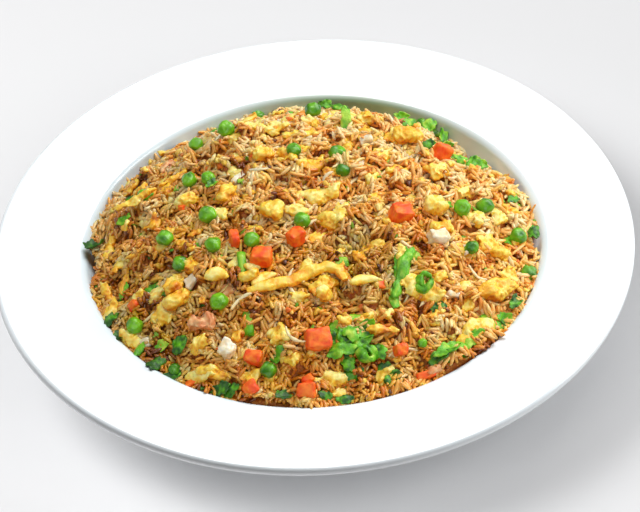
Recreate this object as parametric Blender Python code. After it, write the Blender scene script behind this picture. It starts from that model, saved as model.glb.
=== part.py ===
"""Fried rice plate: a wide-rimmed round plate, the rice heaped in its well, and the larger toppings.

Units are metres and +Z is up. The origin is the point of the table under the plate's centre.
Run it with: blender --background --python part.py
"""

import math

import bmesh
import bpy
import numpy as np
from mathutils import Matrix, Vector

MM = 0.001

# Plate, turned about Z. Its well's wall and its rim are straight lines joined by fillets.
SECTORS = 48
PLATE_RADIUS = 0.150
MOUTH_RADIUS = 0.1077
RIM_RISE = 0.0054
WELL_DEPTH = 0.030
WALL_ANGLE = math.radians(65)
FLOOR_THICKNESS = 0.0055
WALL_THICKNESS = 0.0045
FOOT_RECESS = 0.002
FOOT_OUTER_RADIUS = 0.0765
FOOT_INNER_RADIUS = 0.0715
FOOT_SLOPE = 0.0025
MOUTH_FILLET = 0.005
UNDER_MOUTH_FILLET = 0.007
FLOOR_FILLET = 0.020
EDGE_FILLET = 0.0021
FILLET_STEP = math.radians(33)
MERGE_DISTANCE = 0.00001

FLOOR_HEIGHT = FOOT_RECESS + FLOOR_THICKNESS
MOUTH_HEIGHT = FLOOR_HEIGHT + WELL_DEPTH
EDGE_HEIGHT = MOUTH_HEIGHT + RIM_RISE

# Rice heap: a dome that meets the well's wall a little below the mouth.
HEAP_GAP = 0.00035
HEAP_PEAK = MOUTH_HEIGHT + 0.0284
HEAP_FULLNESS = 3.0
EDGE_DEPTH = 0.0042
EDGE_DIPS = ((36, 9, 0.0070), (50, 25, 0.0015), (140, 25, 0.0010))  # azimuth, width (degrees), extra depth
EDGE_WAVES = ((5, 1.0, 0.0005), (9, 2.6, 0.0004), (14, 0.4, 0.0003))  # count, phase, height
LUMP_WIDE = 0.0016
LUMP_NARROW = 0.0011
LUMP_CROSS = 0.0007
EDGE_CALM = 8  # power by which the lumps die away towards the edge
TOP_RINGS = 9
UNDER_LEVELS = (0.55, 0.18, 0.0)  # share of the edge's height above the floor
SOCKET_GAP = 0.0004
SLOPE_STEP = 0.002

# Toppings. Places are millimetres from the plate's axis, +Y away from the viewer.
PEAS = (  # x, y, diameter
    (3, 72, 8.4), (-38, 58, 8.6), (-53, 57, 7.4), (-7, 30, 7.4), (14, 29, 8.6), (15, 13, 7.0),
    (-56, 21, 8.0), (-47, 19, 7.4), (-77, 18, 7.8), (-48, -6, 9.0), (-5, -18, 8.8), (-67, -16, 8.4),
    (-45, -30, 8.0), (-28, -28, 7.8), (-60, -32, 8.2), (-43, -57, 8.8), (-82, -53, 8.4), (69, -8, 8.6),
    (80, -2, 8.8), (71, -30, 7.0), (94, -12, 8.4), (-23, -90, 8.0),
)
CARROTS = (  # x, y, length, width, height, turn in degrees
    (63, 40, 10, 9, 9, 20), (40, -15, 11.5, 10, 9.5, 12), (-8, -30, 9, 8, 8, 40),
    (-36, -28, 5, 8, 8, 10), (-24, -39, 11, 9, 8.5, -8), (-1, -82, 13, 11, 8, 8),
    (-29, -84, 9, 7, 6, -20), (35, -84, 7, 6, 6, 15), (-31, -96, 8, 7, 7, 25), (-7, -99, 9.5, 8, 8, -5),
)
EGG_CURDS = (  # x, y, length, width, height, turn in degrees, lobes
    (-20, 30, 13, 8, 7, 8, 2), (47, 47, 17, 13, 8, -15, 3), (-57, 7, 12, 9, 8, 25, 2),
    (-18, -12, 12, 12, 9, 60, 3), (8, -19, 13, 11, 8, -20, 3), (57, -7, 13, 13, 9, 40, 3),
    (-30, -49, 10, 6, 6, 5, 2), (-63, -50, 16, 9, 7, 8, 2), (3, -61, 8, 9, 8, 0, 2),
    (85, -26, 11, 8, 7, 30, 2), (81, -48, 24, 11, 8, 19, 4), (70, -69, 19, 13, 8, 42, 3),
    (-47, -86, 18, 8, 6, -22, 2), (28, -77, 17, 5, 5, -4, 2),
)
ONIONS = ((56, -28, 9, 7, 6, 15), (-41, -78, 8, 7, 6, 50))  # x, y, length, width, height, turn
HAM_CUBES = ((-52, -64, 13, 8, 6, -12),)  # as the onions
SCALLION_RINGS = ((48, -54, 9.5, 5, 25), (20, -86, 9, 5, 70))  # x, y, diameter, length, turn
LEAVES = (  # x, y, length, width, turn
    (12, -79, 9, 8, 80), (32, -94, 9.5, 8.5, 20), (-62, -70, 9, 7.5, 60),
)
EGG_RIBBON = ((-31, -57), (-21, -55), (-11, -52), (-3, -48), (5, -46), (11, -49), (13, -56))
GREEN_BLADES = (  # routes of the two long scallion leaves
    ((43, -41), (40, -47), (37, -54), (34, -62)),
    ((51, -87), (58, -83.5), (64, -78.5)),
)
PEA_LIFT = 0.0022
CARROT_LIFT = 0.0022
CURD_LIFT = 0.0014
ONION_LIFT = 0.0016
RING_LIFT = 0.0022
LEAF_LIFT = 0.0012
RIBBON_LIFT = 0.0012
RIBBON_SIZE = (0.0064, 0.0036)
BLADE_SIZE = (0.0056, 0.0024)
LEAF_THICKNESS = 0.0022
RING_WALL = 0.0016
RING_SIDES = 12
PEA_ROUNDNESS = (1.0, 0.96, 0.93)
PEA_DIMPLE = 0.10
CURD_WAIST = 0.10
CURD_FOLD = 0.16
CURD_FOLD_WIDTH = 0.30
CURD_PHASE = 900  # turns a curd's lobes by its length, so that no two match
LEAF_CUP = 0.0016
DICE_LEAN = 0.10
DICE_TAPER = 0.08
DICE_EDGE = 0.0009
STRIP_END = (0.6, 0.7)  # a strip's width and depth at its ends, as shares of its middle's
STRIP_SECTION = ((-1, 0), (-0.6, 1), (0.6, 1), (1, 0), (0.6, -1), (-0.6, -1))
PIECE_SHARP_ANGLE = 50
HEAP_SHARP_ANGLE = 70

# Finishes: colour, roughness
FINISHES = {
    "glazed_porcelain": ((0.86, 0.87, 0.88, 1), 0.12),
    "fried_rice": ((0.66, 0.38, 0.16, 1), 0.45),
    "green_pea": ((0.10, 0.36, 0.03, 1), 0.35),
    "carrot": ((0.86, 0.16, 0.02, 1), 0.35),
    "egg": ((0.90, 0.66, 0.20, 1), 0.45),
    "onion": ((0.88, 0.84, 0.72, 1), 0.40),
    "ham": ((0.78, 0.36, 0.20, 1), 0.45),
    "scallion": ((0.12, 0.40, 0.04, 1), 0.40),
}


def clear_scene():
    """Remove every object of the scene."""
    for obj in list(bpy.data.objects):
        bpy.data.objects.remove(obj, do_unlink=True)


def finish(name):
    """Return the named finish as a Principled material, made once."""
    material = bpy.data.materials.get(name)
    if material:
        return material
    colour, roughness = FINISHES[name]
    material = bpy.data.materials.new(name)
    material.use_nodes = True
    material.diffuse_color = colour
    shader = material.node_tree.nodes["Principled BSDF"]
    shader.inputs["Base Color"].default_value = colour
    shader.inputs["Roughness"].default_value = roughness
    shader.inputs["Metallic"].default_value = 0.0
    return material


def add_object(name, mesh_builder, finish_name, sharp_angle=PIECE_SHARP_ANGLE):
    """Write the bmesh to a new object with its finish, faces out, and return the object."""
    bmesh.ops.recalc_face_normals(mesh_builder, faces=mesh_builder.faces[:])
    mesh = bpy.data.meshes.new(name)
    mesh_builder.to_mesh(mesh)
    mesh_builder.free()
    mesh.materials.append(finish(finish_name))
    mesh.shade_smooth()
    mesh.set_sharp_from_angle(angle=math.radians(sharp_angle))
    obj = bpy.data.objects.new(name, mesh)
    bpy.context.scene.collection.objects.link(obj)
    return obj


# ---------------------------------------------------------------- plate


def rounded(corners, radii):
    """Return the polyline through the corners, with an arc of its own radius at each inner corner."""
    points = [Vector(corners[0])]
    for before, corner, after, radius in zip(corners, corners[1:], corners[2:], radii):
        back = (Vector(before) - Vector(corner)).normalized()
        ahead = (Vector(after) - Vector(corner)).normalized()
        if radius == 0:
            points.append(Vector(corner))
            continue
        turn = math.pi - back.angle(ahead)
        reach = radius * math.tan(turn / 2)
        centre = Vector(corner) + (back + ahead).normalized() * radius / math.cos(turn / 2)
        start = Vector(corner) + back * reach - centre
        side = math.copysign(1, ahead.cross(back))
        steps = max(2, math.ceil(turn / FILLET_STEP))
        for step in range(steps + 1):
            points.append(centre + Matrix.Rotation(side * turn * step / steps, 2) @ start)
    points.append(Vector(corners[-1]))
    return points


def wall_radius_at(height, offset=0.0):
    """Return where the wall's straight line stands at a height, moved outwards by the offset."""
    line = MOUTH_RADIUS - (MOUTH_HEIGHT - height) / math.tan(WALL_ANGLE)
    return line + offset / math.sin(WALL_ANGLE)


def upper_profile():
    """Return the plate's upper side as (radius, height) points, from its centre to its edge."""
    corners = [
        (0, FLOOR_HEIGHT),
        (wall_radius_at(FLOOR_HEIGHT), FLOOR_HEIGHT),
        (MOUTH_RADIUS, MOUTH_HEIGHT),
        (PLATE_RADIUS, EDGE_HEIGHT),
        (PLATE_RADIUS, EDGE_HEIGHT - WALL_THICKNESS),
    ]
    return rounded(corners, (FLOOR_FILLET, MOUTH_FILLET, EDGE_FILLET))[:-1]


def lower_profile():
    """Return the plate's under side as (radius, height) points, from its edge to its centre."""
    under_mouth = MOUTH_HEIGHT - WALL_THICKNESS
    corners = [
        (PLATE_RADIUS, EDGE_HEIGHT),
        (PLATE_RADIUS, EDGE_HEIGHT - WALL_THICKNESS),
        (wall_radius_at(under_mouth, WALL_THICKNESS), under_mouth),
        (wall_radius_at(FOOT_RECESS, WALL_THICKNESS), FOOT_RECESS),
        (FOOT_OUTER_RADIUS + FOOT_SLOPE, FOOT_RECESS),
        (FOOT_OUTER_RADIUS, 0),
        (FOOT_INNER_RADIUS, 0),
        (FOOT_INNER_RADIUS - FOOT_SLOPE, FOOT_RECESS),
        (0, FOOT_RECESS),
    ]
    radii = (EDGE_FILLET, UNDER_MOUTH_FILLET, FLOOR_FILLET, 0, 0, 0, 0)
    return rounded(corners, radii)[1:]


def make_plate():
    """Turn the plate's profile about Z."""
    builder = bmesh.new()
    points = [builder.verts.new((p.x, 0, p.y)) for p in upper_profile() + lower_profile()]
    for first, second in zip(points, points[1:]):
        builder.edges.new((first, second))
    mesh = bpy.data.meshes.new("plate")
    builder.to_mesh(mesh)
    builder.free()
    mesh.materials.append(finish("glazed_porcelain"))
    plate = bpy.data.objects.new("plate", mesh)
    bpy.context.scene.collection.objects.link(plate)
    screw = plate.modifiers.new("turned", "SCREW")
    screw.steps = SECTORS
    screw.render_steps = SECTORS
    screw.use_merge_vertices = True
    screw.merge_threshold = MERGE_DISTANCE
    screw.use_smooth_shade = True


# ---------------------------------------------------------------- rice heap


def edge_height(azimuth):
    """Return the height of the heap's edge on the wall, at an azimuth in radians."""
    depth = EDGE_DEPTH
    for centre, width, extra in EDGE_DIPS:
        away = (math.degrees(azimuth) - centre + 180) % 360 - 180
        depth += extra * math.exp(-((away / width) ** 2))
    for count, phase, height in EDGE_WAVES:
        depth += height * math.sin(count * azimuth + phase)
    return MOUTH_HEIGHT - depth


WELL_SIDE = [point for point in upper_profile()[1:] if point.x < MOUTH_RADIUS + MOUTH_FILLET]


def well_radius(height):
    """Return the heap's radius where it lies against the plate at a height."""
    reached = np.interp(height - HEAP_GAP, [p.y for p in WELL_SIDE], [p.x for p in WELL_SIDE])
    return float(reached) - HEAP_GAP


def lumps(x, y):
    """Return how far the heap's uneven top stands off the smooth dome."""
    wide = LUMP_WIDE * math.sin(x / 0.0125 + 1.3) * math.cos(y / 0.0145 - 0.4)
    narrow = LUMP_NARROW * math.sin(x / 0.0066 + y / 0.0083)
    cross = LUMP_CROSS * math.sin(x / 0.0074 - y / 0.0058 + 2.0)
    return wide + narrow + cross


def heap_height(x, y):
    """Return the height of the heap's top above the table."""
    azimuth = math.atan2(y, x)
    edge = edge_height(azimuth)
    share = min(1.0, math.hypot(x, y) / well_radius(edge))
    dome = edge + (HEAP_PEAK - edge) * (1 - share**HEAP_FULLNESS)
    return dome + lumps(x, y) * (1 - share**EDGE_CALM)


def heap_normal(x, y, step=SLOPE_STEP):
    """Return the direction that the heap's top faces."""
    slope_x = (heap_height(x + step, y) - heap_height(x - step, y)) / (2 * step)
    slope_y = (heap_height(x, y + step) - heap_height(x, y - step)) / (2 * step)
    return Vector((-slope_x, -slope_y, 1)).normalized()


def heap_rings():
    """Yield the heap's rings from near the top's centre, over the edge, to near the floor's centre."""
    azimuths = [2 * math.pi * sector / SECTORS for sector in range(SECTORS)]
    for ring in range(1, TOP_RINGS + 1):
        share = math.sin(math.pi / 2 * ring / TOP_RINGS)
        radii = [share * well_radius(edge_height(azimuth)) for azimuth in azimuths]
        spots = [(r * math.cos(a), r * math.sin(a)) for r, a in zip(radii, azimuths)]
        yield [(x, y, heap_height(x, y)) for x, y in spots]
    lowest = FLOOR_HEIGHT + HEAP_GAP
    for level in UNDER_LEVELS:
        heights = [lowest + (edge_height(a) - lowest) * level for a in azimuths]
        radii = [well_radius(height) for height in heights]
        yield [(r * math.cos(a), r * math.sin(a), h) for r, a, h in zip(radii, azimuths, heights)]


def make_heap(sockets):
    """Build the rice heap as one closed solid, with a socket for each topping."""
    builder = bmesh.new()
    top = builder.verts.new((0, 0, heap_height(0, 0)))
    rings = [[builder.verts.new(point) for point in ring] for ring in heap_rings()]
    bottom = builder.verts.new((0, 0, FLOOR_HEIGHT + HEAP_GAP))
    for index in range(SECTORS):
        following = (index + 1) % SECTORS
        builder.faces.new((top, rings[0][index], rings[0][following]))
        builder.faces.new((bottom, rings[-1][following], rings[-1][index]))
        for inner, outer in zip(rings, rings[1:]):
            builder.faces.new((inner[index], outer[index], outer[following], inner[following]))
    bmesh.ops.triangulate(builder, faces=builder.faces[:])
    heap = add_object("rice_heap", builder, "fried_rice", HEAP_SHARP_ANGLE)
    cut = heap.modifiers.new("sockets", "BOOLEAN")
    cut.operation = "DIFFERENCE"
    cut.operand_type = "COLLECTION"
    cut.collection = sockets
    cut.solver = "EXACT"


# ---------------------------------------------------------------- topping shapes


def ball(half_sizes, shape_point):
    """Return an icosphere whose unit points are shaped by a function, then scaled."""
    builder = bmesh.new()
    bmesh.ops.create_icosphere(builder, subdivisions=2, radius=1)
    for vert in builder.verts:
        shaped = shape_point(vert.co.copy())
        vert.co = Vector(a * b for a, b in zip(shaped, half_sizes))
    return builder


def pea(diameter, grow):
    """Return a pea: a ball a little flattened, with one shallow dimple."""
    radius = diameter / 2 + grow
    dimple = 0.0 if grow else PEA_DIMPLE

    def dimpled(point):
        return point * (1 - dimple * max(0.0, point.z) ** 6)

    return ball([radius * share for share in PEA_ROUNDNESS], dimpled)


def curd(length, width, height, lobes, grow):
    """Return a scrambled egg curd: a lobed lump with a fold across its top."""

    def folded(point):
        around = math.atan2(point.y, point.x)
        side = 1 - point.z**2
        swell = 1 - CURD_WAIST * side * (1 + math.cos(lobes * around + length * CURD_PHASE))
        fold = 0.0 if grow else CURD_FOLD * math.exp(-((point.x / CURD_FOLD_WIDTH) ** 2)) * max(0.0, point.z)
        return Vector((point.x * swell, point.y * swell, point.z - fold))

    return ball((length / 2 + grow, width / 2 + grow, height / 2 + grow), folded)


def leaf(length, width, grow):
    """Return a small leaf: a thin oval, cupped along its length."""
    builder = ball((length / 2 + grow, width / 2 + grow, LEAF_THICKNESS / 2 + grow), lambda point: point)
    for vert in builder.verts:
        vert.co.z += LEAF_CUP * ((vert.co.y / width * 2) ** 2 - 0.4)
    return builder


def dice(length, width, height, grow):
    """Return a diced cube with eased edges, leaning a little."""
    builder = bmesh.new()
    bmesh.ops.create_cube(builder, size=1)
    sizes = Vector((length + 2 * grow, width + 2 * grow, height + 2 * grow))
    bmesh.ops.scale(builder, vec=sizes, verts=builder.verts)
    for vert in builder.verts:
        vert.co.x += DICE_LEAN * vert.co.z
        vert.co.y *= 1 + DICE_TAPER * math.copysign(1, vert.co.x)
    bmesh.ops.bevel(builder, geom=builder.edges[:], offset=DICE_EDGE, segments=1, affect="EDGES")
    return builder


def tube(diameter, length, grow):
    """Return a scallion ring lying on its cut face, or its plain round socket when grown."""
    builder = bmesh.new()
    outer = diameter / 2
    if grow:
        reach = outer / math.cos(math.pi / RING_SIDES) + grow
        bmesh.ops.create_cone(
            builder, cap_ends=True, segments=RING_SIDES, radius1=reach, radius2=reach, depth=length + 2 * grow
        )
        return builder
    inner = outer - RING_WALL
    corners = ((inner, -length / 2), (outer, -length / 2), (outer, length / 2), (inner, length / 2))
    rings = []
    for side in range(RING_SIDES):
        angle = 2 * math.pi * side / RING_SIDES
        turned = [(r * math.cos(angle), r * math.sin(angle), z) for r, z in corners]
        rings.append([builder.verts.new(point) for point in turned])
    for near, far in zip(rings, rings[1:] + rings[:1]):
        for corner in range(len(corners)):
            after = (corner + 1) % len(corners)
            builder.faces.new((near[corner], far[corner], far[after], near[after]))
    return builder


def strip(route, size, lift, grow):
    """Return a flat strip that follows the heap's top along a route in millimetres, thinner at its ends."""
    spots = [Vector((x * MM, y * MM, 0)) for x, y in route]
    for spot in spots:
        spot.z = heap_height(spot.x, spot.y)
    builder = bmesh.new()
    rings = []
    for index, spot in enumerate(spots):
        ahead = spots[min(index + 1, len(spots) - 1)]
        behind = spots[max(index - 1, 0)]
        along = (ahead - behind).normalized()
        up = heap_normal(spot.x, spot.y)
        across = along.cross(up).normalized()
        at_end = index in (0, len(spots) - 1)
        end_width, end_depth = STRIP_END if at_end else (1.0, 1.0)
        half_width = size[0] / 2 * end_width + grow
        half_depth = size[1] / 2 * end_depth + grow
        overrun = along * grow * ((index == len(spots) - 1) - (index == 0))
        centre = spot + up * lift + overrun
        ring = [centre + across * u * half_width + up * v * half_depth for u, v in STRIP_SECTION]
        rings.append([builder.verts.new(point) for point in ring])
    for near, far in zip(rings, rings[1:]):
        for corner in range(len(STRIP_SECTION)):
            after = (corner + 1) % len(STRIP_SECTION)
            builder.faces.new((near[corner], far[corner], far[after], near[after]))
    builder.faces.new(rings[0])
    builder.faces.new(list(reversed(rings[-1])))
    return builder


# ---------------------------------------------------------------- topping places


def settle(builder, x, y, lift, turn):
    """Move a shape to a place on the heap's top, turned and leaning as the heap does there."""
    normal = heap_normal(x, y)
    lean = Vector((0, 0, 1)).rotation_difference(normal).to_matrix().to_4x4()
    spot = Vector((x, y, heap_height(x, y))) + normal * lift
    move = Matrix.Translation(spot) @ lean @ Matrix.Rotation(math.radians(turn), 4, "Z")
    bmesh.ops.transform(builder, matrix=move, verts=builder.verts)
    return builder


def add_topping(name, shape, finish_name, sockets):
    """Add a topping from shape(grow), and the cutter of its socket from the same shape grown."""
    add_object(name, shape(0.0), finish_name)
    cutter = add_object(f"{name}_socket", shape(SOCKET_GAP), finish_name)
    cutter.hide_render = True
    cutter.display_type = "WIRE"
    bpy.context.scene.collection.objects.unlink(cutter)
    sockets.objects.link(cutter)


def add_placed(kind, rows, make_shape, lift, finish_name, sockets):
    """Add one topping for each row of x, y, sizes in millimetres and turn, numbered within its kind."""
    for number, row in enumerate(rows, start=1):
        x, y, *sizes, turn = row
        lengths = [size * MM for size in sizes]

        def shape(grow, x=x, y=y, lengths=lengths, turn=turn):
            return settle(make_shape(*lengths, grow), x * MM, y * MM, lift, turn)

        add_topping(f"{kind}_{number:02d}", shape, finish_name, sockets)


def make_toppings(sockets):
    """Add every topping with its socket."""
    peas = [(x, y, diameter, 40 * index) for index, (x, y, diameter) in enumerate(PEAS)]
    add_placed("pea", peas, pea, PEA_LIFT, "green_pea", sockets)
    add_placed("carrot", CARROTS, dice, CARROT_LIFT, "carrot", sockets)
    add_placed("onion", ONIONS, dice, ONION_LIFT, "onion", sockets)
    add_placed("ham", HAM_CUBES, dice, ONION_LIFT, "ham", sockets)
    add_placed("scallion_ring", SCALLION_RINGS, tube, RING_LIFT, "scallion", sockets)
    add_placed("scallion_leaf", LEAVES, leaf, LEAF_LIFT, "scallion", sockets)
    for number, (x, y, length, width, height, turn, lobes) in enumerate(EGG_CURDS, start=1):

        def lump(grow, x=x, y=y, sizes=(length * MM, width * MM, height * MM), turn=turn, lobes=lobes):
            return settle(curd(*sizes, lobes, grow), x * MM, y * MM, CURD_LIFT, turn)

        add_topping(f"egg_{number:02d}", lump, "egg", sockets)
    add_topping(
        "egg_ribbon", lambda grow: strip(EGG_RIBBON, RIBBON_SIZE, RIBBON_LIFT, grow), "egg", sockets
    )
    for number, route in enumerate(GREEN_BLADES, start=1):
        add_topping(
            f"scallion_blade_{number:02d}",
            lambda grow, route=route: strip(route, BLADE_SIZE, RIBBON_LIFT, grow),
            "scallion",
            sockets,
        )


def main():
    """Build the plate, the heap and its toppings."""
    clear_scene()
    sockets = bpy.data.collections.new("sockets")
    bpy.context.scene.collection.children.link(sockets)
    make_plate()
    make_toppings(sockets)
    make_heap(sockets)


main()
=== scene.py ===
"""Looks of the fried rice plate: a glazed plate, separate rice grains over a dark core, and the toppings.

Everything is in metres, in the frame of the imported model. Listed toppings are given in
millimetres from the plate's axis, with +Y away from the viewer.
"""

import logging
import math
from contextlib import contextmanager
from dataclasses import dataclass
from enum import Enum
from typing import Callable, Iterator, Sequence

import bpy
import numpy as np
from mathutils import Matrix, Vector
from mathutils.bvhtree import BVHTree


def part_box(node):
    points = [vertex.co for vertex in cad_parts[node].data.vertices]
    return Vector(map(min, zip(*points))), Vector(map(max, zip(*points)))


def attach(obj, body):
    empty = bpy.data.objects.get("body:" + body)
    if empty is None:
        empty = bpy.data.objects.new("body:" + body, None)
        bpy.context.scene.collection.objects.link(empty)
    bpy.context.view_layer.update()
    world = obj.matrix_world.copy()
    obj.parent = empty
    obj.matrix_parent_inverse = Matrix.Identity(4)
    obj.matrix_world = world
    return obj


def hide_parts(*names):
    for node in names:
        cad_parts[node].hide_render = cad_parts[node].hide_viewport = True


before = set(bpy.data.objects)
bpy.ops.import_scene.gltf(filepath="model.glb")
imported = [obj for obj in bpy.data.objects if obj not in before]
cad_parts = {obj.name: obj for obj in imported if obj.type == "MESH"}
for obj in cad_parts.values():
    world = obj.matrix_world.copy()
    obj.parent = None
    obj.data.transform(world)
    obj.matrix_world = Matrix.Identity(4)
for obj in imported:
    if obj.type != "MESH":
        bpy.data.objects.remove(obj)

MM = 0.001
BODY = "root"
TONE = "tone"
MERGE_DISTANCE = 0.00001
FAR = 9.0  # metres: farther than anything on the plate
log = logging.getLogger("fried_rice_plate")

Colour = tuple[float, float, float]
Row = tuple[float, ...]


def srgb(red: int, green: int, blue: int) -> Colour:
    """Return a screen colour, 0 to 255 a channel, as the linear colour that shaders take."""
    shares = (channel / 255 for channel in (red, green, blue))
    return tuple(((share + 0.055) / 1.055) ** 2.4 if share > 0.04 else share / 12.92 for share in shares)


# ---------------------------------------------------------------- bench tools


def pick_only(piece: bpy.types.Object) -> None:
    """Deselect everything, then select the piece and make it active."""
    bpy.ops.object.select_all(action="DESELECT")
    piece.select_set(True)
    bpy.context.view_layer.objects.active = piece


@contextmanager
def editing(piece: bpy.types.Object) -> Iterator[None]:
    """Hold the piece in edit mode with all of it selected."""
    pick_only(piece)
    bpy.ops.object.mode_set(mode="EDIT")
    bpy.ops.mesh.select_all(action="SELECT")
    yield
    bpy.ops.object.mode_set(mode="OBJECT")


def settle_transform(piece: bpy.types.Object) -> None:
    """Put the piece's place, turn and scale into its mesh."""
    pick_only(piece)
    bpy.ops.object.transform_apply(location=True, rotation=True, scale=True)


def started(add: Callable[..., object], name: str = "working", **settings: object) -> bpy.types.Object:
    """Add a primitive, selected alone, with its place, turn and scale in its mesh.

    Args:
        add: the operator that adds it.
        name: the new object's name.
        settings: the operator's settings.

    Returns:
        The new object.
    """
    bpy.ops.object.select_all(action="DESELECT")
    add(**settings)
    piece = bpy.context.object
    piece.name = piece.data.name = name
    settle_transform(piece)
    return piece


def lengthwise_ball(segments: int, rings: int) -> bpy.types.Object:
    """Return a ball, one metre across, with its poles along X."""
    turned = (0, math.pi / 2, 0)
    add = bpy.ops.mesh.primitive_uv_sphere_add
    return started(add, segments=segments, ring_count=rings, radius=0.5, rotation=turned)


def round_ball(name: str, subdivisions: int, radius: float = 0.5) -> bpy.types.Object:
    """Return a ball of even triangles, by default one metre across."""
    return started(bpy.ops.mesh.primitive_ico_sphere_add, name, subdivisions=subdivisions, radius=radius)


def worked(piece: bpy.types.Object, kind: str, **settings: object) -> bpy.types.Object:
    """Add a modifier to the piece and apply it.

    Args:
        piece: the object to change.
        kind: the modifier's type, such as "SUBSURF".
        settings: the modifier's properties.

    Returns:
        The same piece.
    """
    pick_only(piece)
    modifier = piece.modifiers.new("work", kind)
    for name, value in settings.items():
        setattr(modifier, name, value)
    bpy.ops.object.modifier_apply(modifier=modifier.name)
    return piece


def rounded_off(piece: bpy.types.Object, levels: int) -> bpy.types.Object:
    """Subdivide the piece smoothly and return it."""
    return worked(piece, "SUBSURF", levels=levels, render_levels=levels)


def points_of(piece: bpy.types.Object, what: str = "co") -> np.ndarray:
    """Return the places of the piece's points, or the ways they face.

    Args:
        piece: the object to read.
        what: "co" for places or "normal" for directions.

    Returns:
        One row x, y, z a point.
    """
    flat = np.empty(len(piece.data.vertices) * 3, np.float32)
    piece.data.vertices.foreach_get(what, flat)
    return flat.reshape(-1, 3).astype(float)


def set_points(piece: bpy.types.Object, points: np.ndarray) -> None:
    """Move the piece's points to new places."""
    piece.data.vertices.foreach_set("co", points.astype(np.float32).ravel())
    piece.data.update()


def normals_of(piece: bpy.types.Object) -> np.ndarray:
    """Return the direction that each of the piece's points faces."""
    return points_of(piece, "normal")


def faces_of(piece: bpy.types.Object) -> list[tuple[int, ...]]:
    """Return the piece's faces as tuples of point numbers."""
    return [tuple(face.vertices) for face in piece.data.polygons]


def paint(piece: bpy.types.Object, colours: np.ndarray) -> None:
    """Write one colour a point into the attribute that the food finishes read.

    Args:
        piece: the object to change.
        colours: linear colours, one row a point, or one for all.
    """
    attribute = piece.data.color_attributes.new(name=TONE, type="FLOAT_COLOR", domain="POINT")
    full = np.ones((len(piece.data.vertices), 4), np.float32)
    full[:, :3] = colours
    attribute.data.foreach_set("color", full.ravel())


def between(first: Sequence[float], second: Sequence[float], share: np.ndarray) -> np.ndarray:
    """Return the colours that lie between two, at each share from 0 to 1."""
    share = np.clip(share, 0, 1)[..., None]
    return np.asarray(first) * (1 - share) + np.asarray(second) * share


def discard(piece: bpy.types.Object) -> None:
    """Remove a working object and its mesh."""
    mesh = piece.data
    bpy.data.objects.remove(piece)
    bpy.data.meshes.remove(mesh)


def new_piece(name: str, points: np.ndarray, faces: Sequence[Sequence[int]]) -> bpy.types.Object:
    """Return a new mesh object from points and faces.

    Args:
        name: the object's name.
        points: rows x, y, z.
        faces: point numbers of each face.

    Returns:
        The new object.
    """
    mesh = bpy.data.meshes.new(name)
    mesh.from_pydata(points.tolist(), [], faces)
    piece = bpy.data.objects.new(name, mesh)
    bpy.context.scene.collection.objects.link(piece)
    return piece


def copy_of_node(node: str, name: str) -> bpy.types.Object:
    """Return a copy of a CAD node with its loose triangles merged and its flat faces joined again.

    Args:
        node: the CAD node's name.
        name: the copy's name.

    Returns:
        The copy, with no material.
    """
    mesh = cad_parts[node].data.copy()
    mesh.name = name
    mesh.materials.clear()
    piece = bpy.data.objects.new(name, mesh)
    bpy.context.scene.collection.objects.link(piece)
    with editing(piece):
        bpy.ops.mesh.customdata_custom_splitnormals_clear()
        bpy.ops.mesh.remove_doubles(threshold=MERGE_DISTANCE)
        bpy.ops.mesh.dissolve_limited(angle_limit=math.radians(2))
    return piece


def nodes_named(start: str) -> list[str]:
    """Return the CAD nodes whose names start so, in order."""
    return sorted(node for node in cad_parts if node.startswith(start))


@dataclass(frozen=True)
class Ripple:
    """A random field of plane waves, about one unit high, with crests about a wavelength apart."""

    wavelength: float
    seed: int
    waves: int = 20

    def at(self, points: np.ndarray) -> np.ndarray:
        """Return the field's height at each point.

        Args:
            points: one row of coordinates a point.

        Returns:
            One height a point.
        """
        rng = np.random.default_rng(self.seed)
        directions = rng.normal(size=(self.waves, points.shape[1]))
        directions /= np.linalg.norm(directions, axis=1)[:, None]
        lengths = self.wavelength * rng.uniform(0.7, 1.5, self.waves)
        phases = rng.uniform(0, 2 * math.pi, self.waves)
        crests = np.cos(points @ (directions * (2 * math.pi / lengths)[:, None]).T + phases)
        return crests.sum(axis=1) / math.sqrt(self.waves / 2)


# ---------------------------------------------------------------- finishes


def new_group(name: str, inputs: dict[str, object], outputs: dict[str, str]) -> bpy.types.NodeTree:
    """Return a new shader group with named sockets.

    Args:
        name: the group's name.
        inputs: each input's name and starting value; a number or a colour.
        outputs: each output's name and socket type.

    Returns:
        The group, holding its input and output nodes.
    """
    group = bpy.data.node_groups.new(name, "ShaderNodeTree")
    for title, value in inputs.items():
        kind = "NodeSocketFloat" if isinstance(value, (int, float)) else "NodeSocketColor"
        socket = group.interface.new_socket(title, in_out="INPUT", socket_type=kind)
        socket.default_value = value
    for title, kind in outputs.items():
        group.interface.new_socket(title, in_out="OUTPUT", socket_type=kind)
    group.nodes.new("NodeGroupInput")
    group.nodes.new("NodeGroupOutput")
    return group


def preset(node: bpy.types.Node, values: dict[str, object]) -> bpy.types.Node:
    """Set a node's inputs to starting values.

    Args:
        node: the node.
        values: each input's name and value.

    Returns:
        The same node.
    """
    for title, value in values.items():
        node.inputs[title].default_value = value
    return node


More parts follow.
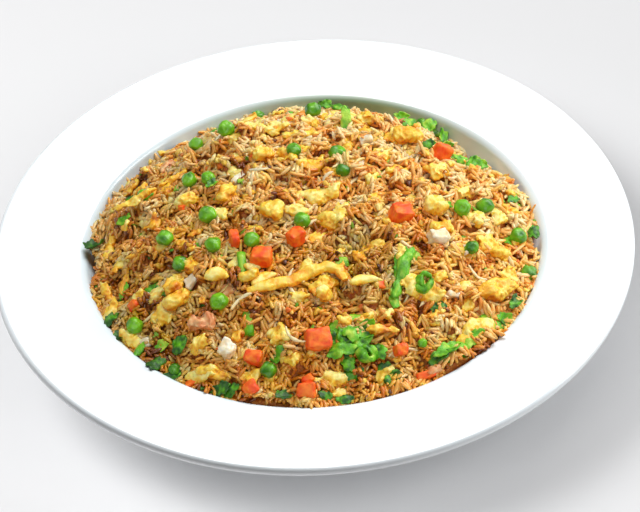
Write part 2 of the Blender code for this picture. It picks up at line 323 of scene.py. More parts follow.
def mottle_group() -> bpy.types.NodeTree:
    """Return the shared group that stains a colour in soft patches, made once."""
    group = bpy.data.node_groups.get("mottle")
    if group:
        return group
    white = (1.0, 1.0, 1.0, 1.0)
    inputs = {"Colour": white, "Stain": white, "Scale": 500.0, "Depth": 0.5}
    group = new_group("mottle", inputs, {"Colour": "NodeSocketColor"})
    nodes, links = group.nodes, group.links
    source, result = nodes["Group Input"], nodes["Group Output"]
    place = nodes.new("ShaderNodeTexCoord")
    cloud = preset(nodes.new("ShaderNodeTexNoise"), {"Detail": 3.0, "Roughness": 0.6})
    spread = preset(nodes.new("ShaderNodeMapRange"), {"From Min": 0.38, "From Max": 0.68})
    amount = nodes.new("ShaderNodeMath")
    amount.operation = "MULTIPLY"
    stain = nodes.new("ShaderNodeMix")
    stain.data_type = "RGBA"
    stain.blend_type = "MULTIPLY"
    links.new(place.outputs["Object"], cloud.inputs["Vector"])
    links.new(source.outputs["Scale"], cloud.inputs["Scale"])
    links.new(cloud.outputs["Fac"], spread.inputs["Value"])
    links.new(spread.outputs["Result"], amount.inputs[0])
    links.new(source.outputs["Depth"], amount.inputs[1])
    links.new(amount.outputs["Value"], stain.inputs["Factor"])
    links.new(source.outputs["Colour"], stain.inputs["A"])
    links.new(source.outputs["Stain"], stain.inputs["B"])
    links.new(stain.outputs["Result"], result.inputs["Colour"])
    return group


def grain_group() -> bpy.types.NodeTree:
    """Return the shared group that gives a fine relief and an uneven gloss, made once."""
    group = bpy.data.node_groups.get("fine_grain")
    if group:
        return group
    inputs = {"Scale": 900.0, "Gloss": 0.4, "Spread": 0.1}
    group = new_group("fine_grain", inputs, {"Height": "NodeSocketFloat", "Roughness": "NodeSocketFloat"})
    nodes, links = group.nodes, group.links
    source, result = nodes["Group Input"], nodes["Group Output"]
    place = nodes.new("ShaderNodeTexCoord")
    relief = preset(nodes.new("ShaderNodeTexNoise"), {"Detail": 2.0})
    shine = nodes.new("ShaderNodeMath")
    shine.operation = "MULTIPLY_ADD"
    links.new(place.outputs["Object"], relief.inputs["Vector"])
    links.new(source.outputs["Scale"], relief.inputs["Scale"])
    links.new(relief.outputs["Fac"], result.inputs["Height"])
    links.new(relief.outputs["Fac"], shine.inputs[0])
    links.new(source.outputs["Spread"], shine.inputs[1])
    links.new(source.outputs["Gloss"], shine.inputs[2])
    links.new(shine.outputs["Value"], result.inputs["Roughness"])
    return group


@dataclass(frozen=True)
class Finish:
    """A finish: a plain colour or the points' tones, stained in patches, with fine relief and gloss."""

    name: str
    roughness: float
    stain: Colour = (1.0, 1.0, 1.0)
    stain_depth: float = 0.5
    stain_scale: float = 450.0
    relief_scale: float = 900.0
    relief_height: float = 0.00015
    gloss_spread: float = 0.1
    oil: float = 0.0
    oil_roughness: float = 0.12
    glow: float = 0.0
    glow_reach: float = 0.0012
    glow_colour: Colour = (1.0, 0.45, 0.2)
    plain: Colour | None = None

    def material(self) -> bpy.types.Material:
        """Return this finish's material, made once."""
        found = bpy.data.materials.get(self.name)
        if found:
            return found
        material = bpy.data.materials.new(self.name)
        material.use_nodes = True
        nodes, links = material.node_tree.nodes, material.node_tree.links
        shader = nodes["Principled BSDF"]
        mottle = nodes.new("ShaderNodeGroup")
        mottle.node_tree = mottle_group()
        preset(mottle, {"Stain": (*self.stain, 1.0), "Scale": self.stain_scale, "Depth": self.stain_depth})
        if self.plain:
            preset(mottle, {"Colour": (*self.plain, 1.0)})
        else:
            tone = nodes.new("ShaderNodeAttribute")
            tone.attribute_name = TONE
            links.new(tone.outputs["Color"], mottle.inputs["Colour"])
        links.new(mottle.outputs["Colour"], shader.inputs["Base Color"])
        grain = nodes.new("ShaderNodeGroup")
        grain.node_tree = grain_group()
        gloss = self.roughness - self.gloss_spread / 2
        preset(grain, {"Scale": self.relief_scale, "Gloss": gloss, "Spread": self.gloss_spread})
        links.new(grain.outputs["Roughness"], shader.inputs["Roughness"])
        bump = preset(nodes.new("ShaderNodeBump"), {"Distance": self.relief_height})
        links.new(grain.outputs["Height"], bump.inputs["Height"])
        links.new(bump.outputs["Normal"], shader.inputs["Normal"])
        preset(shader, {"Coat Weight": self.oil, "Coat Roughness": self.oil_roughness})
        if self.glow:
            preset(shader, {"Subsurface Weight": self.glow, "Subsurface Scale": self.glow_reach})
            preset(shader, {"Subsurface Radius": self.glow_colour})
        material.diffuse_color = (*(self.plain or self.stain), 1.0)
        return material

    def dress(self, piece: bpy.types.Object, slot: str, nodes: Sequence[str] = ()) -> None:
        """Give a finished piece this finish, hang it from the body's empty, and hide the CAD nodes that it
        stands for.

        Args:
            piece: the finished object.
            slot: not used.
            nodes: the CAD nodes that it stands for.
        """
        piece.data.materials.clear()
        piece.data.materials.append(self.material())
        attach(piece, BODY)
        if nodes:
            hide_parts(*nodes)


GLAZE = Finish(
    "white_glaze", 0.14, stain=(0.965, 0.975, 0.985), stain_depth=0.6, stain_scale=14.0,
    relief_scale=40.0, relief_height=0.00012, oil=0.35,
)
RICE = Finish(
    "soy_stained_rice", 0.33, stain=srgb(250, 190, 104), stain_depth=0.6, stain_scale=330.0,
    relief_scale=1400.0, relief_height=0.0001, oil=0.30, glow=0.50, glow_reach=0.0014,
    glow_colour=(1.0, 0.74, 0.52),
)
CORE = Finish(
    "rice_in_shade", 0.5, stain=srgb(196, 128, 62), stain_depth=1.0, stain_scale=620.0,
    relief_scale=560.0, relief_height=0.0016, plain=srgb(214, 136, 52),
)
PEA_SKIN = Finish(
    "pea_skin", 0.32, stain=srgb(190, 220, 130), stain_depth=0.5, stain_scale=260.0,
    relief_scale=520.0, relief_height=0.00012, oil=0.25, glow=0.25, glow_reach=0.0015,
    glow_colour=(0.4, 1.0, 0.15),
)
CARROT_FLESH = Finish(
    "carrot_flesh", 0.50, stain=srgb(255, 180, 80), stain_depth=0.5, stain_scale=420.0,
    relief_scale=1100.0, relief_height=0.00018, oil=0.05, glow=0.15, glow_reach=0.0012,
    glow_colour=(1.0, 0.45, 0.05),
)
EGG = Finish(
    "scrambled_egg", 0.42, stain=srgb(255, 214, 110), stain_depth=0.5, stain_scale=420.0,
    relief_scale=1300.0, relief_height=0.0002, oil=0.20, glow=0.35, glow_reach=0.0014,
    glow_colour=(1.0, 0.6, 0.2),
)
GREENS = Finish(
    "scallion_green", 0.45, stain=srgb(190, 220, 110), stain_depth=0.6, stain_scale=380.0,
    relief_scale=1100.0, relief_height=0.0003, oil=0.10, glow=0.20, glow_reach=0.0010,
    glow_colour=(0.5, 1.0, 0.15),
)
ONION_FLESH = Finish(
    "onion_flesh", 0.30, stain=srgb(244, 226, 180), stain_depth=0.6, stain_scale=300.0,
    relief_scale=900.0, relief_height=0.0001, oil=0.35, glow=0.45, glow_reach=0.0018,
    glow_colour=(1.0, 0.85, 0.6),
)
HAM_FLESH = Finish(
    "cured_meat", 0.40, stain=srgb(235, 190, 150), stain_depth=0.8, stain_scale=420.0,
    relief_scale=1100.0, relief_height=0.0002, oil=0.3, glow=0.25, glow_reach=0.0012,
    glow_colour=(1.0, 0.4, 0.2),
)
FLOOR_PAINT = Finish(
    "pale_floor", 0.7, stain=(0.99, 0.99, 0.985), stain_depth=0.5, stain_scale=3.0,
    relief_scale=60.0, relief_height=0.00002, plain=srgb(229, 229, 230),
)


# ---------------------------------------------------------------- plate


def rounded(corners: Sequence[Row], radii: Sequence[float], step: float) -> list[Vector]:
    """Return the polyline through the corners with an arc at each inner one.

    Args:
        corners: points as (radius, height).
        radii: the arc's radius at each inner corner; 0 keeps it sharp.
        step: the largest turn from one point of an arc to the next, in radians.

    Returns:
        The line's points.
    """
    points = [Vector(corners[0])]
    for before, corner, after, radius in zip(corners, corners[1:], corners[2:], radii):
        back = (Vector(before) - Vector(corner)).normalized()
        ahead = (Vector(after) - Vector(corner)).normalized()
        if radius == 0:
            points.append(Vector(corner))
            continue
        turn = math.pi - back.angle(ahead)
        centre = Vector(corner) + (back + ahead).normalized() * radius / math.cos(turn / 2)
        start = Vector(corner) + back * radius * math.tan(turn / 2) - centre
        side = math.copysign(1, ahead.cross(back))
        steps = max(2, math.ceil(turn / step))
        for index in range(steps + 1):
            points.append(centre + Matrix.Rotation(side * turn * index / steps, 2) @ start)
    points.append(Vector(corners[-1]))
    return points


@dataclass
class Plate:
    """The glazed plate, pulled up ring by ring from a small disc at the middle of its well."""

    sectors: int = 160
    mouth_radius: float = 0.1077
    rim_rise: float = 0.0054
    well_depth: float = 0.030
    wall_angle: float = math.radians(65)
    floor_thickness: float = 0.0055
    wall: float = 0.0045
    foot_recess: float = 0.002
    foot_outer: float = 0.0765
    foot_inner: float = 0.0715
    foot_slope: float = 0.0025
    mouth_fillet: float = 0.005
    under_mouth_fillet: float = 0.007
    floor_fillet: float = 0.020
    edge_fillet: float = 0.0021
    arc_step: float = math.radians(11)
    hub: float = 0.004
    crease: float = math.radians(35)
    white: Colour = srgb(240, 242, 244)
    # painted shade on the well's wall: a cool grey all round, and a darker grey-green band centred towards
    # the back; the glaze itself is white
    painted_wall_shade: Colour = srgb(226, 240, 246)
    painted_back_wall_shade: Colour = srgb(146, 174, 138)
    painted_shade_start: float = 0.0010
    painted_shade_depth: float = 0.0022
    painted_shade_azimuth: float = 76.0
    painted_shade_spread: float = 27.0
    wall_margin: float = 0.002
    floor_margin: float = 0.001

    def __post_init__(self) -> None:
        """Read the plate's own radius from the frame and work out its heights."""
        self.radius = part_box("plate")[1].x
        self.floor_height = self.foot_recess + self.floor_thickness
        self.mouth_height = self.floor_height + self.well_depth
        self.edge_height = self.mouth_height + self.rim_rise

    def wall_radius(self, height: float, offset: float = 0.0) -> float:
        """Return where the wall's straight line stands at a height, moved outwards by the offset."""
        line = self.mouth_radius - (self.mouth_height - height) / math.tan(self.wall_angle)
        return line + offset / math.sin(self.wall_angle)

    def upper_side(self) -> list[Vector]:
        """Return the upper side's (radius, height) points from the hub to the edge."""
        corners = [
            (self.hub, self.floor_height),
            (self.wall_radius(self.floor_height), self.floor_height),
            (self.mouth_radius, self.mouth_height),
            (self.radius, self.edge_height),
            (self.radius, self.edge_height - self.wall),
        ]
        radii = (self.floor_fillet, self.mouth_fillet, self.edge_fillet)
        return rounded(corners, radii, self.arc_step)[:-1]

    def under_side(self) -> list[Vector]:
        """Return the under side's (radius, height) points from the edge to the hub."""
        under_mouth = self.mouth_height - self.wall
        corners = [
            (self.radius, self.edge_height),
            (self.radius, self.edge_height - self.wall),
            (self.wall_radius(under_mouth, self.wall), under_mouth),
            (self.wall_radius(self.foot_recess, self.wall), self.foot_recess),
            (self.foot_outer + self.foot_slope, self.foot_recess),
            (self.foot_outer, 0.0),
            (self.foot_inner, 0.0),
            (self.foot_inner - self.foot_slope, self.foot_recess),
            (self.hub, self.foot_recess),
        ]
        radii = (self.edge_fillet, self.under_mouth_fillet, self.floor_fillet, 0, 0, 0, 0)
        return rounded(corners, radii, self.arc_step)[1:]

    def height_at(self, radius: np.ndarray) -> np.ndarray:
        """Return the height of the plate's upper side at each radius."""
        side = self.upper_side()
        return np.interp(radius, [p.x for p in side], [p.y for p in side])

    def build(self) -> bpy.types.Object:
        """Model the plate and return it."""
        upper, under = self.upper_side(), self.under_side()
        plate = started(
            bpy.ops.mesh.primitive_circle_add, "porcelain_plate", vertices=self.sectors, radius=self.hub,
            fill_type="TRIFAN", location=(0, 0, self.floor_height),
        )
        with editing(plate):
            bpy.ops.mesh.select_mode(type="EDGE")
            bpy.ops.mesh.region_to_loop()
            here = upper[0]
            for point in upper[1:] + under:
                grow = point.x / here.x
                bpy.ops.mesh.extrude_region_move()
                bpy.ops.transform.resize(value=(grow, grow, 1), center_override=(0, 0, here.y))
                bpy.ops.transform.translate(value=(0, 0, point.y - here.y))
                here = point
            bpy.ops.mesh.edge_face_add()
            bpy.ops.mesh.select_all(action="SELECT")
            bpy.ops.mesh.normals_make_consistent(inside=False)
        pick_only(plate)
        bpy.ops.object.shade_smooth_by_angle(angle=self.crease)
        paint(plate, self.glaze_with_painted_shade(points_of(plate)))
        GLAZE.dress(plate, "plate", ["plate"])
        return plate

    def glaze_with_painted_shade(self, points: np.ndarray) -> np.ndarray:
        """Return the glaze's colour at each point: white, with painted shade down the well's wall.

        Args:
            points: the plate's points.

        Returns:
            One colour a point.
        """
        depth = (self.mouth_height + self.painted_shade_start - points[:, 2]) / self.painted_shade_depth
        line = np.array([self.wall_radius(height) for height in points[:, 2]])
        radius = np.hypot(points[:, 0], points[:, 1])
        above = points[:, 2] > self.floor_height - self.floor_margin
        within = (radius < line + self.wall_margin) & above
        behind = np.degrees(np.arctan2(points[:, 1], points[:, 0])) - self.painted_shade_azimuth
        # painted shade: cool grey down the wall, turning to a darker grey-green near the back
        glaze = between(self.painted_wall_shade, self.painted_back_wall_shade, np.exp(-((behind / self.painted_shade_spread) ** 2)))
        share = (np.clip(depth, 0, 1) * within)[:, None]
        return glaze * share + np.array(self.white) * (1 - share)


# ---------------------------------------------------------------- heap surface


@dataclass
class HeightField:
    """Heights over the plate on a square grid of cells."""

    half: float = 0.114
    cell: float = 0.0005

    def __post_init__(self) -> None:
        """Lay out the grid's cell centres."""
        self.count = int(round(2 * self.half / self.cell)) + 1
        self.line = np.linspace(-self.half, self.half, self.count)
        self.across, self.away = np.meshgrid(self.line, self.line)

    def index(self, value: np.ndarray) -> np.ndarray:
        """Return the cell numbers that hold these places."""
        return np.clip(np.rint((value + self.half) / self.cell), 0, self.count - 1).astype(int)

    def tops(self, piece: bpy.types.Object) -> tuple[np.ndarray, tuple[slice, slice]]:
        """Return the height of a piece's top over its part of the grid, and that part.

        Args:
            piece: the object looked down on.

        Returns:
            Heights, not a number where the piece isn't, and the rows and columns that they fill.
        """
        points = points_of(piece)
        tree = BVHTree.FromPolygons(points.tolist(), faces_of(piece))
        low, high = points.min(axis=0), points.max(axis=0)
        columns = slice(int(self.index(low[0])), int(self.index(high[0])) + 1)
        rows = slice(int(self.index(low[1])), int(self.index(high[1])) + 1)
        down = Vector((0, 0, -1))
        start = high[2] + self.cell

        def top(x: float, y: float) -> float:
            """Return the height at one cell."""
            return getattr(tree.ray_cast(Vector((x, y, start)), down)[0], "z", np.nan)

        heights = [[top(x, y) for x in self.line[columns]] for y in self.line[rows]]
        return np.array(heights), (rows, columns)


@dataclass
class Clumps:
    """Sticky lumps of rice: a cell pattern where each lump has its own lift, lie and tone."""

    spacing: float = 0.0092
    cells: int = 32
    jitter: float = 0.42
    wander: float = 0.0018
    wander_length: float = 0.013
    seed: int = 8

    def __post_init__(self) -> None:
        """Lay out the lumps' middles and draw what is each one's own."""
        rng = np.random.default_rng(self.seed)
        columns, rows = np.meshgrid(np.arange(self.cells), np.arange(self.cells))
        shift = rng.uniform(-self.jitter, self.jitter, (2, self.cells, self.cells))
        self.start = -self.cells * self.spacing / 2
        self.x = ((columns + 0.5 + shift[0]) * self.spacing + self.start).ravel()
        self.y = ((rows + 0.5 + shift[1]) * self.spacing + self.start).ravel()
        count = self.cells**2
        self.lift = rng.normal(0, 1, count)
        self.lie = rng.uniform(0, math.pi, count)
        self.tone = rng.normal(0, 1, count)

    def read(self, x: np.ndarray, y: np.ndarray) -> tuple[np.ndarray, np.ndarray]:
        """Return the number of the lump at each place, and how far the place is from its edge.

        Args:
            x: places in metres.
            y: places in metres.

        Returns:
            The lumps' numbers and the distances, shaped as x is.
        """
        flat = np.column_stack([np.ravel(x), np.ravel(y)])
        u = flat[:, 0] + self.wander * Ripple(self.wander_length, 61).at(flat)
        v = flat[:, 1] + self.wander * Ripple(self.wander_length, 62).at(flat)
        column = np.floor((u - self.start) / self.spacing).astype(int)
        row = np.floor((v - self.start) / self.spacing).astype(int)
        nearest = np.full(len(u), FAR)
        second = np.full(len(u), FAR)
        owner = np.zeros(len(u), int)
        for away in range(-2, 3):
            for aside in range(-2, 3):
                line = np.clip(row + away, 0, self.cells - 1)
                place = np.clip(column + aside, 0, self.cells - 1)
                number = line * self.cells + place
                distance = np.hypot(u - self.x[number], v - self.y[number])
                distance = np.where((number == owner) & (nearest < FAR), FAR, distance)
                closer = distance < nearest
                second = np.where(closer, nearest, np.minimum(second, distance))
                owner = np.where(closer, number, owner)
                nearest = np.minimum(nearest, distance)
        return owner.reshape(np.shape(x)), (second - nearest).reshape(np.shape(x))


@dataclass
class HeapSurface:
    """The outer surface of the heap, read from its solid, with the sockets of the toppings filled."""

    coarse: float = 0.0015
    socket_margin: float = 0.0012
    rounds: int = 220
    lump_lift: float = 0.0023
    lift_limit: float = 1.6
    crack_depth: float = 0.0036
    crack_width: float = 0.0022
    lump_flank: float = 0.003
    fine_swell: Ripple = Ripple(0.0065, 22)
    fine_height: float = 0.0006
    wide_swell: Ripple = Ripple(0.021, 23)
    wide_height: float = 0.0019
    deepest: float = 0.0055
    calm_width: float = 0.004
    calmest: float = 0.2
    edge_width: float = 0.009
    edge_share: float = 0.3
    far_edge: float = 0.100
    far_width: float = 0.035
    far_share: float = 0.25
    back_edge: float = 0.045
    brim: float = 0.0010
    brim_rise: float = 0.0008
    brim_width: float = 0.008
    sunk: float = 0.0008
    sunk_behind: float = 0.0030
    directions: int = 48

    def __post_init__(self) -> None:
        """Read the solid's top and fill what the toppings' sockets take out of it."""
        grid = HeightField(cell=self.coarse)
        self.clumps = Clumps()
        self.sites: list[tuple[float, float, float]] = []
        heap = copy_of_node("rice_heap", "heap_reading")
        tops, (rows, columns) = grid.tops(heap)
        outline = points_of(heap)
        discard(heap)
        whole = np.full((grid.count, grid.count), np.nan)
        whole[rows, columns] = tops
        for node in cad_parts:
            if node not in ("plate", "rice_heap"):
                low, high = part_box(node)
                middle, size = (low + high) / 2, high - low
                self.sites.append((middle.x, middle.y, (size.x + size.y) / 4))
                gap = self.socket_margin
                near_x = (grid.across > low.x - gap) & (grid.across < high.x + gap)
                near_y = (grid.away > low.y - gap) & (grid.away < high.y + gap)
                whole[near_x & near_y] = np.nan
        self.grid, self.heights = grid, self.filled(whole)
        turns = np.arctan2(outline[:, 1], outline[:, 0])
        reaches = np.hypot(outline[:, 0], outline[:, 1])
        bins = np.linspace(-math.pi, math.pi, self.directions + 1)
        self.bin_turns = (bins[1:] + bins[:-1]) / 2
        which = np.digitize(turns, bins) - 1
        self.bin_reaches = np.array([reaches[which == index].max() for index in range(self.directions)])

    def filled(self, heights: np.ndarray) -> np.ndarray:
        """Return the heights with every gap filled smoothly from around it.

        Args:
            heights: the grid of heights, not a number at a gap.

        Returns:
            The grid without gaps.
        """
        gap = np.isnan(heights)
        result = np.where(gap, np.nanmean(heights), heights)
        for _ in range(self.rounds):
            padded = np.pad(result, 1, mode="edge")
            mean = (padded[:-2, 1:-1] + padded[2:, 1:-1] + padded[1:-1, :-2] + padded[1:-1, 2:]) / 4
            result[gap] = mean[gap]
        return result

    def height(self, x: np.ndarray, y: np.ndarray) -> np.ndarray:
        """Return the surface's height at each place, read between cells, and level past the edge.

        Args:
            x: places in metres.
            y: places in metres.

        Returns:
            The heights, shaped as x is.
        """
        drawn = np.minimum(1, (self.reach(x, y) - self.brim) / np.maximum(np.hypot(x, y), self.brim))
        last = self.grid.count - 1.001
        column = np.clip((x * drawn + self.grid.half) / self.grid.cell, 0, last)
        row = np.clip((y * drawn + self.grid.half) / self.grid.cell, 0, last)
        c, r = column.astype(int), row.astype(int)
        u, v = column - c, row - r
        h = self.heights
        near = h[r, c] * (1 - u) + h[r, c + 1] * u
        far = h[r + 1, c] * (1 - u) + h[r + 1, c + 1] * u
        return near * (1 - v) + far * v

    def relief(self, x: np.ndarray, y: np.ndarray) -> np.ndarray:
        """Return how far the lumpy skin stands off the smooth surface: little near the solid toppings.

        Args:
            x: places in metres.
            y: places in metres.

        Returns:
            The distances, below 0 where the skin is sunk.
        """
        owner, margin = self.clumps.read(x, y)
        flat = np.column_stack([np.ravel(x), np.ravel(y)])
        stand = np.clip(self.clumps.lift[owner], -self.lift_limit, self.lift_limit)
        lift = self.lump_lift * stand * np.clip(margin / self.lump_flank, 0, 1)
        crack = self.crack_depth * np.exp(-((margin / self.crack_width) ** 2))
        swell = self.fine_height * self.fine_swell.at(flat) + self.wide_height * self.wide_swell.at(flat)
        nearest = np.full(np.shape(x), FAR)
        for site_x, site_y, radius in self.sites:
            nearest = np.minimum(nearest, np.hypot(x - site_x, y - site_y) - radius)
        calm = self.calmest + (1 - self.calmest) * np.clip(nearest / self.calm_width, 0, 1)
        inside = self.reach(x, y) - np.hypot(x, y)
        calm *= np.clip(inside / self.edge_width, self.edge_share, 1)
        relief = np.maximum(lift - crack + swell.reshape(np.shape(x)), -self.deepest) * calm
        far_slope = np.clip((self.far_edge - y) / self.far_width, self.far_share, 1)
        sunk = self.sunk + self.sunk_behind * np.clip((y - self.back_edge) / self.far_width, 0, 1)
        brim = (self.sunk + self.brim_rise) * np.clip(1 - inside / self.brim_width, 0, 1)
        return np.where(relief > 0, relief * far_slope, relief) - sunk + brim

    def reach(self, x: np.ndarray, y: np.ndarray) -> np.ndarray:
        """Return the heap's outer radius in each place's direction."""
        return np.interp(np.arctan2(y, x), self.bin_turns, self.bin_reaches, period=2 * math.pi)

    def normal(self, x: float, y: float, step: float = 0.003) -> Vector:
        """Return the direction that the surface faces at a place.

        Args:
            x: place in metres.
            y: place in metres.
            step: how far to each side the slope is read.

        Returns:
            The direction, one metre long.
        """
        slope_x = (self.height(x + step, y) - self.height(x - step, y)) / (2 * step)
        slope_y = (self.height(x, y + step) - self.height(x, y - step)) / (2 * step)
        return Vector((-slope_x, -slope_y, 1)).normalized()

    def seat(self, x: float, y: float, lift: float, turn: float, lean: float = 0.0) -> Matrix:
        """Return the move that seats a shape on the heap.

        Args:
            x: place in metres.
            y: place in metres.
            lift: how far the shape's middle stands off the surface.
            turn: its turn about the surface's normal, in degrees.
            lean: its tilt off the surface, in degrees.

        Returns:
            The matrix that moves a shape from the origin to its seat.
        """
        normal = self.normal(x, y)
        up = Vector((0, 0, 1)).rotation_difference(normal).to_matrix().to_4x4()
        skin = float(self.height(x, y)) + float(self.relief(np.array([x]), np.array([y]))[0])
        spot = Vector((x, y, skin)) + normal * lift
        spin = Matrix.Rotation(math.radians(turn), 4, "Z") @ Matrix.Rotation(math.radians(lean), 4, "Y")
        return Matrix.Translation(spot) @ up @ spin


# ---------------------------------------------------------------- toppings


def moved(piece: bpy.types.Object, move: Matrix) -> bpy.types.Object:
    """Move a piece's mesh and return the piece.

    Args:
        piece: the object to change.
        move: the move, turn and scale.

    Returns:
        The same piece.
    """
    piece.data.transform(move)
    piece.data.update()
    return piece


def torn_sheet(length: float, width: float, thickness: float, curl: float, seed: int) -> bpy.types.Object:
    """Return a torn sheet at the origin, with its length along X, rolled about that line.

    Args:
        length: the sheet's length.
        width: its width before it is rolled.
        thickness: its thickness.
        curl: how far it is rolled, in radians from edge to edge; below 0 its edges point up.
        seed: the seed of its ragged outline.

    Returns:
        The sheet.
    """
    sheet = started(bpy.ops.mesh.primitive_grid_add, x_subdivisions=16, y_subdivisions=10, size=2)
    points = points_of(sheet)
    rng = np.random.default_rng(seed)
    along, across = points[:, 0], points[:, 1]
    disc = np.column_stack([along * np.sqrt(1 - across**2 / 2), across * np.sqrt(1 - along**2 / 2)])
    turn = np.arctan2(disc[:, 1], disc[:, 0])
    phases = rng.uniform(0, 2 * math.pi, 3)
    ragged = 1 + 0.17 * np.sin(2 * turn + phases[0]) + 0.13 * np.sin(3 * turn + phases[1])
    ragged += 0.10 * np.sin(6 * turn + phases[2]) + 0.06 * np.sin(11 * turn + phases[0])
    disc *= ragged[:, None] * (length / 2, width / 2)
    roll = disc[:, 1] / width * curl
    bent = np.column_stack([disc[:, 0], np.sin(roll) * width / curl, (np.cos(roll) - 1) * width / curl])
    bent[:, 2] += 0.05 * width * np.sin(disc[:, 0] / length * rng.uniform(4, 8) + phases[0])
    bent[:, 2] += 0.03 * width * Ripple(0.3 * length, seed).at(bent)
    set_points(sheet, bent)
    worked(sheet, "SOLIDIFY", thickness=thickness, offset=0)
    return smooth(sheet)


def joined(name: str, pieces: list[bpy.types.Object]) -> bpy.types.Object:
    """Join pieces into one of this name, and return it.

    Args:
        name: the joined piece's name.
        pieces: the pieces, at least one.

    Returns:
        The joined piece.
    """
    bpy.ops.object.select_all(action="DESELECT")
    for piece in pieces:
        piece.select_set(True)
    bpy.context.view_layer.objects.active = pieces[0]
    bpy.ops.object.join()
    pieces[0].name = pieces[0].data.name = name
    return pieces[0]


def rippled(piece: bpy.types.Object, wavelength: float, height: float, seed: int) -> np.ndarray:
    """Push the piece's points in and out along their normals, and return the field that did it.

    Args:
        piece: the object to change.
        wavelength: how far apart the crests are.
        height: how high they are.
        seed: the field's seed.

    Returns:
        The height of the field at each point, about -2 to 2.
    """
    points = points_of(piece)
    field = Ripple(wavelength, seed).at(points)
    set_points(piece, points + normals_of(piece) * (height * np.clip(field, -1.8, 1.8))[:, None])
    return field


def smooth(piece: bpy.types.Object) -> bpy.types.Object:
    """Shade the piece smooth and return it."""
    piece.data.shade_smooth()
    return piece


@dataclass
class Peas:
    """Green peas, each with a slightly wrinkled skin and a small pucker."""

    surface: HeapSurface
    bright: Colour = srgb(126, 198, 24)
    dark: Colour = srgb(40, 112, 8)
    pucker_width: float = 0.035
    pucker_depth: float = 0.10
    squash: Row = (1.0, 0.97, 0.94)
    wrinkles: tuple[Row, ...] = ((0.50, 0.030, 0), (0.17, 0.009, 20))  # wavelength, height, seed
    ripeness: Row = (0.25, 0.95)
    patchiness: float = 0.22
    sunk: float = 0.12
    # x, y, size
    loose: tuple[Row, ...] = ((45, -81, 4.5), (-65, -78, 6), (98, -29, 7.5), (-24, 101, 7.4), (58, 88, 6.4))

    def model(self, name: str) -> bpy.types.Object:
        """Return one pea, one metre across, at the origin.

        Args:
            name: the pea's name.

        Returns:
            The pea.
        """
        pea = started(bpy.ops.mesh.primitive_uv_sphere_add, name, segments=28, ring_count=18, radius=0.5)
        points = points_of(pea)
        heights = points[:, 2] * 2
        pucker = np.exp(-(((1 - heights) / self.pucker_width) ** 2)) * self.pucker_depth
        set_points(pea, points * (1 - pucker)[:, None] * self.squash)
        return smooth(pea)

    def place(self, pea: bpy.types.Object, centre: Vector, sizes: Vector, number: int) -> None:
        """Turn a pea, wrinkle it, paint it, and put it where it belongs.

        Args:
            pea: the object to change.
            centre: where its middle goes.
            sizes: its size along each axis.
            number: the seed of its wrinkles and tone.
        """
        rng = np.random.default_rng(300 + number)
        tip = Matrix.Rotation(rng.uniform(-0.9, 0.9), 4, "X")
        moved(pea, tip @ Matrix.Rotation(rng.uniform(0, 6.28), 4, "Z"))
        for wavelength, height, shift in self.wrinkles:
            rippled(pea, wavelength, height, number + shift)
        moved(pea, Matrix.Translation(centre) @ Matrix.Diagonal((*sizes, 1)))
        field = Ripple(0.005, number + 50).at(points_of(pea))
        share = rng.uniform(*self.ripeness) + self.patchiness * field
        paint(pea, between(self.dark, self.bright, share))

    def build(self) -> list[bpy.types.Object]:
        """Make every pea and return them."""
        peas = []
        for number, node in enumerate(nodes_named("pea_"), start=1):
            low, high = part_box(node)
            pea = self.model(f"green_pea_{number:02d}")
            self.place(pea, (low + high) / 2, high - low, number)
            PEA_SKIN.dress(pea, "pea", [node])
            peas.append(pea)
        extras = []
        for number, (x, y, size) in enumerate(self.loose, start=100):
            pea = self.model("loose")
            seat = self.surface.seat(x * MM, y * MM, size * self.sunk * MM, 0)
            self.place(pea, seat.translation, Vector((size, size, size)) * MM, number)
            extras.append(pea)
        PEA_SKIN.dress(joined("green_peas_loose", extras), "pea")
        return peas + extras[:1]


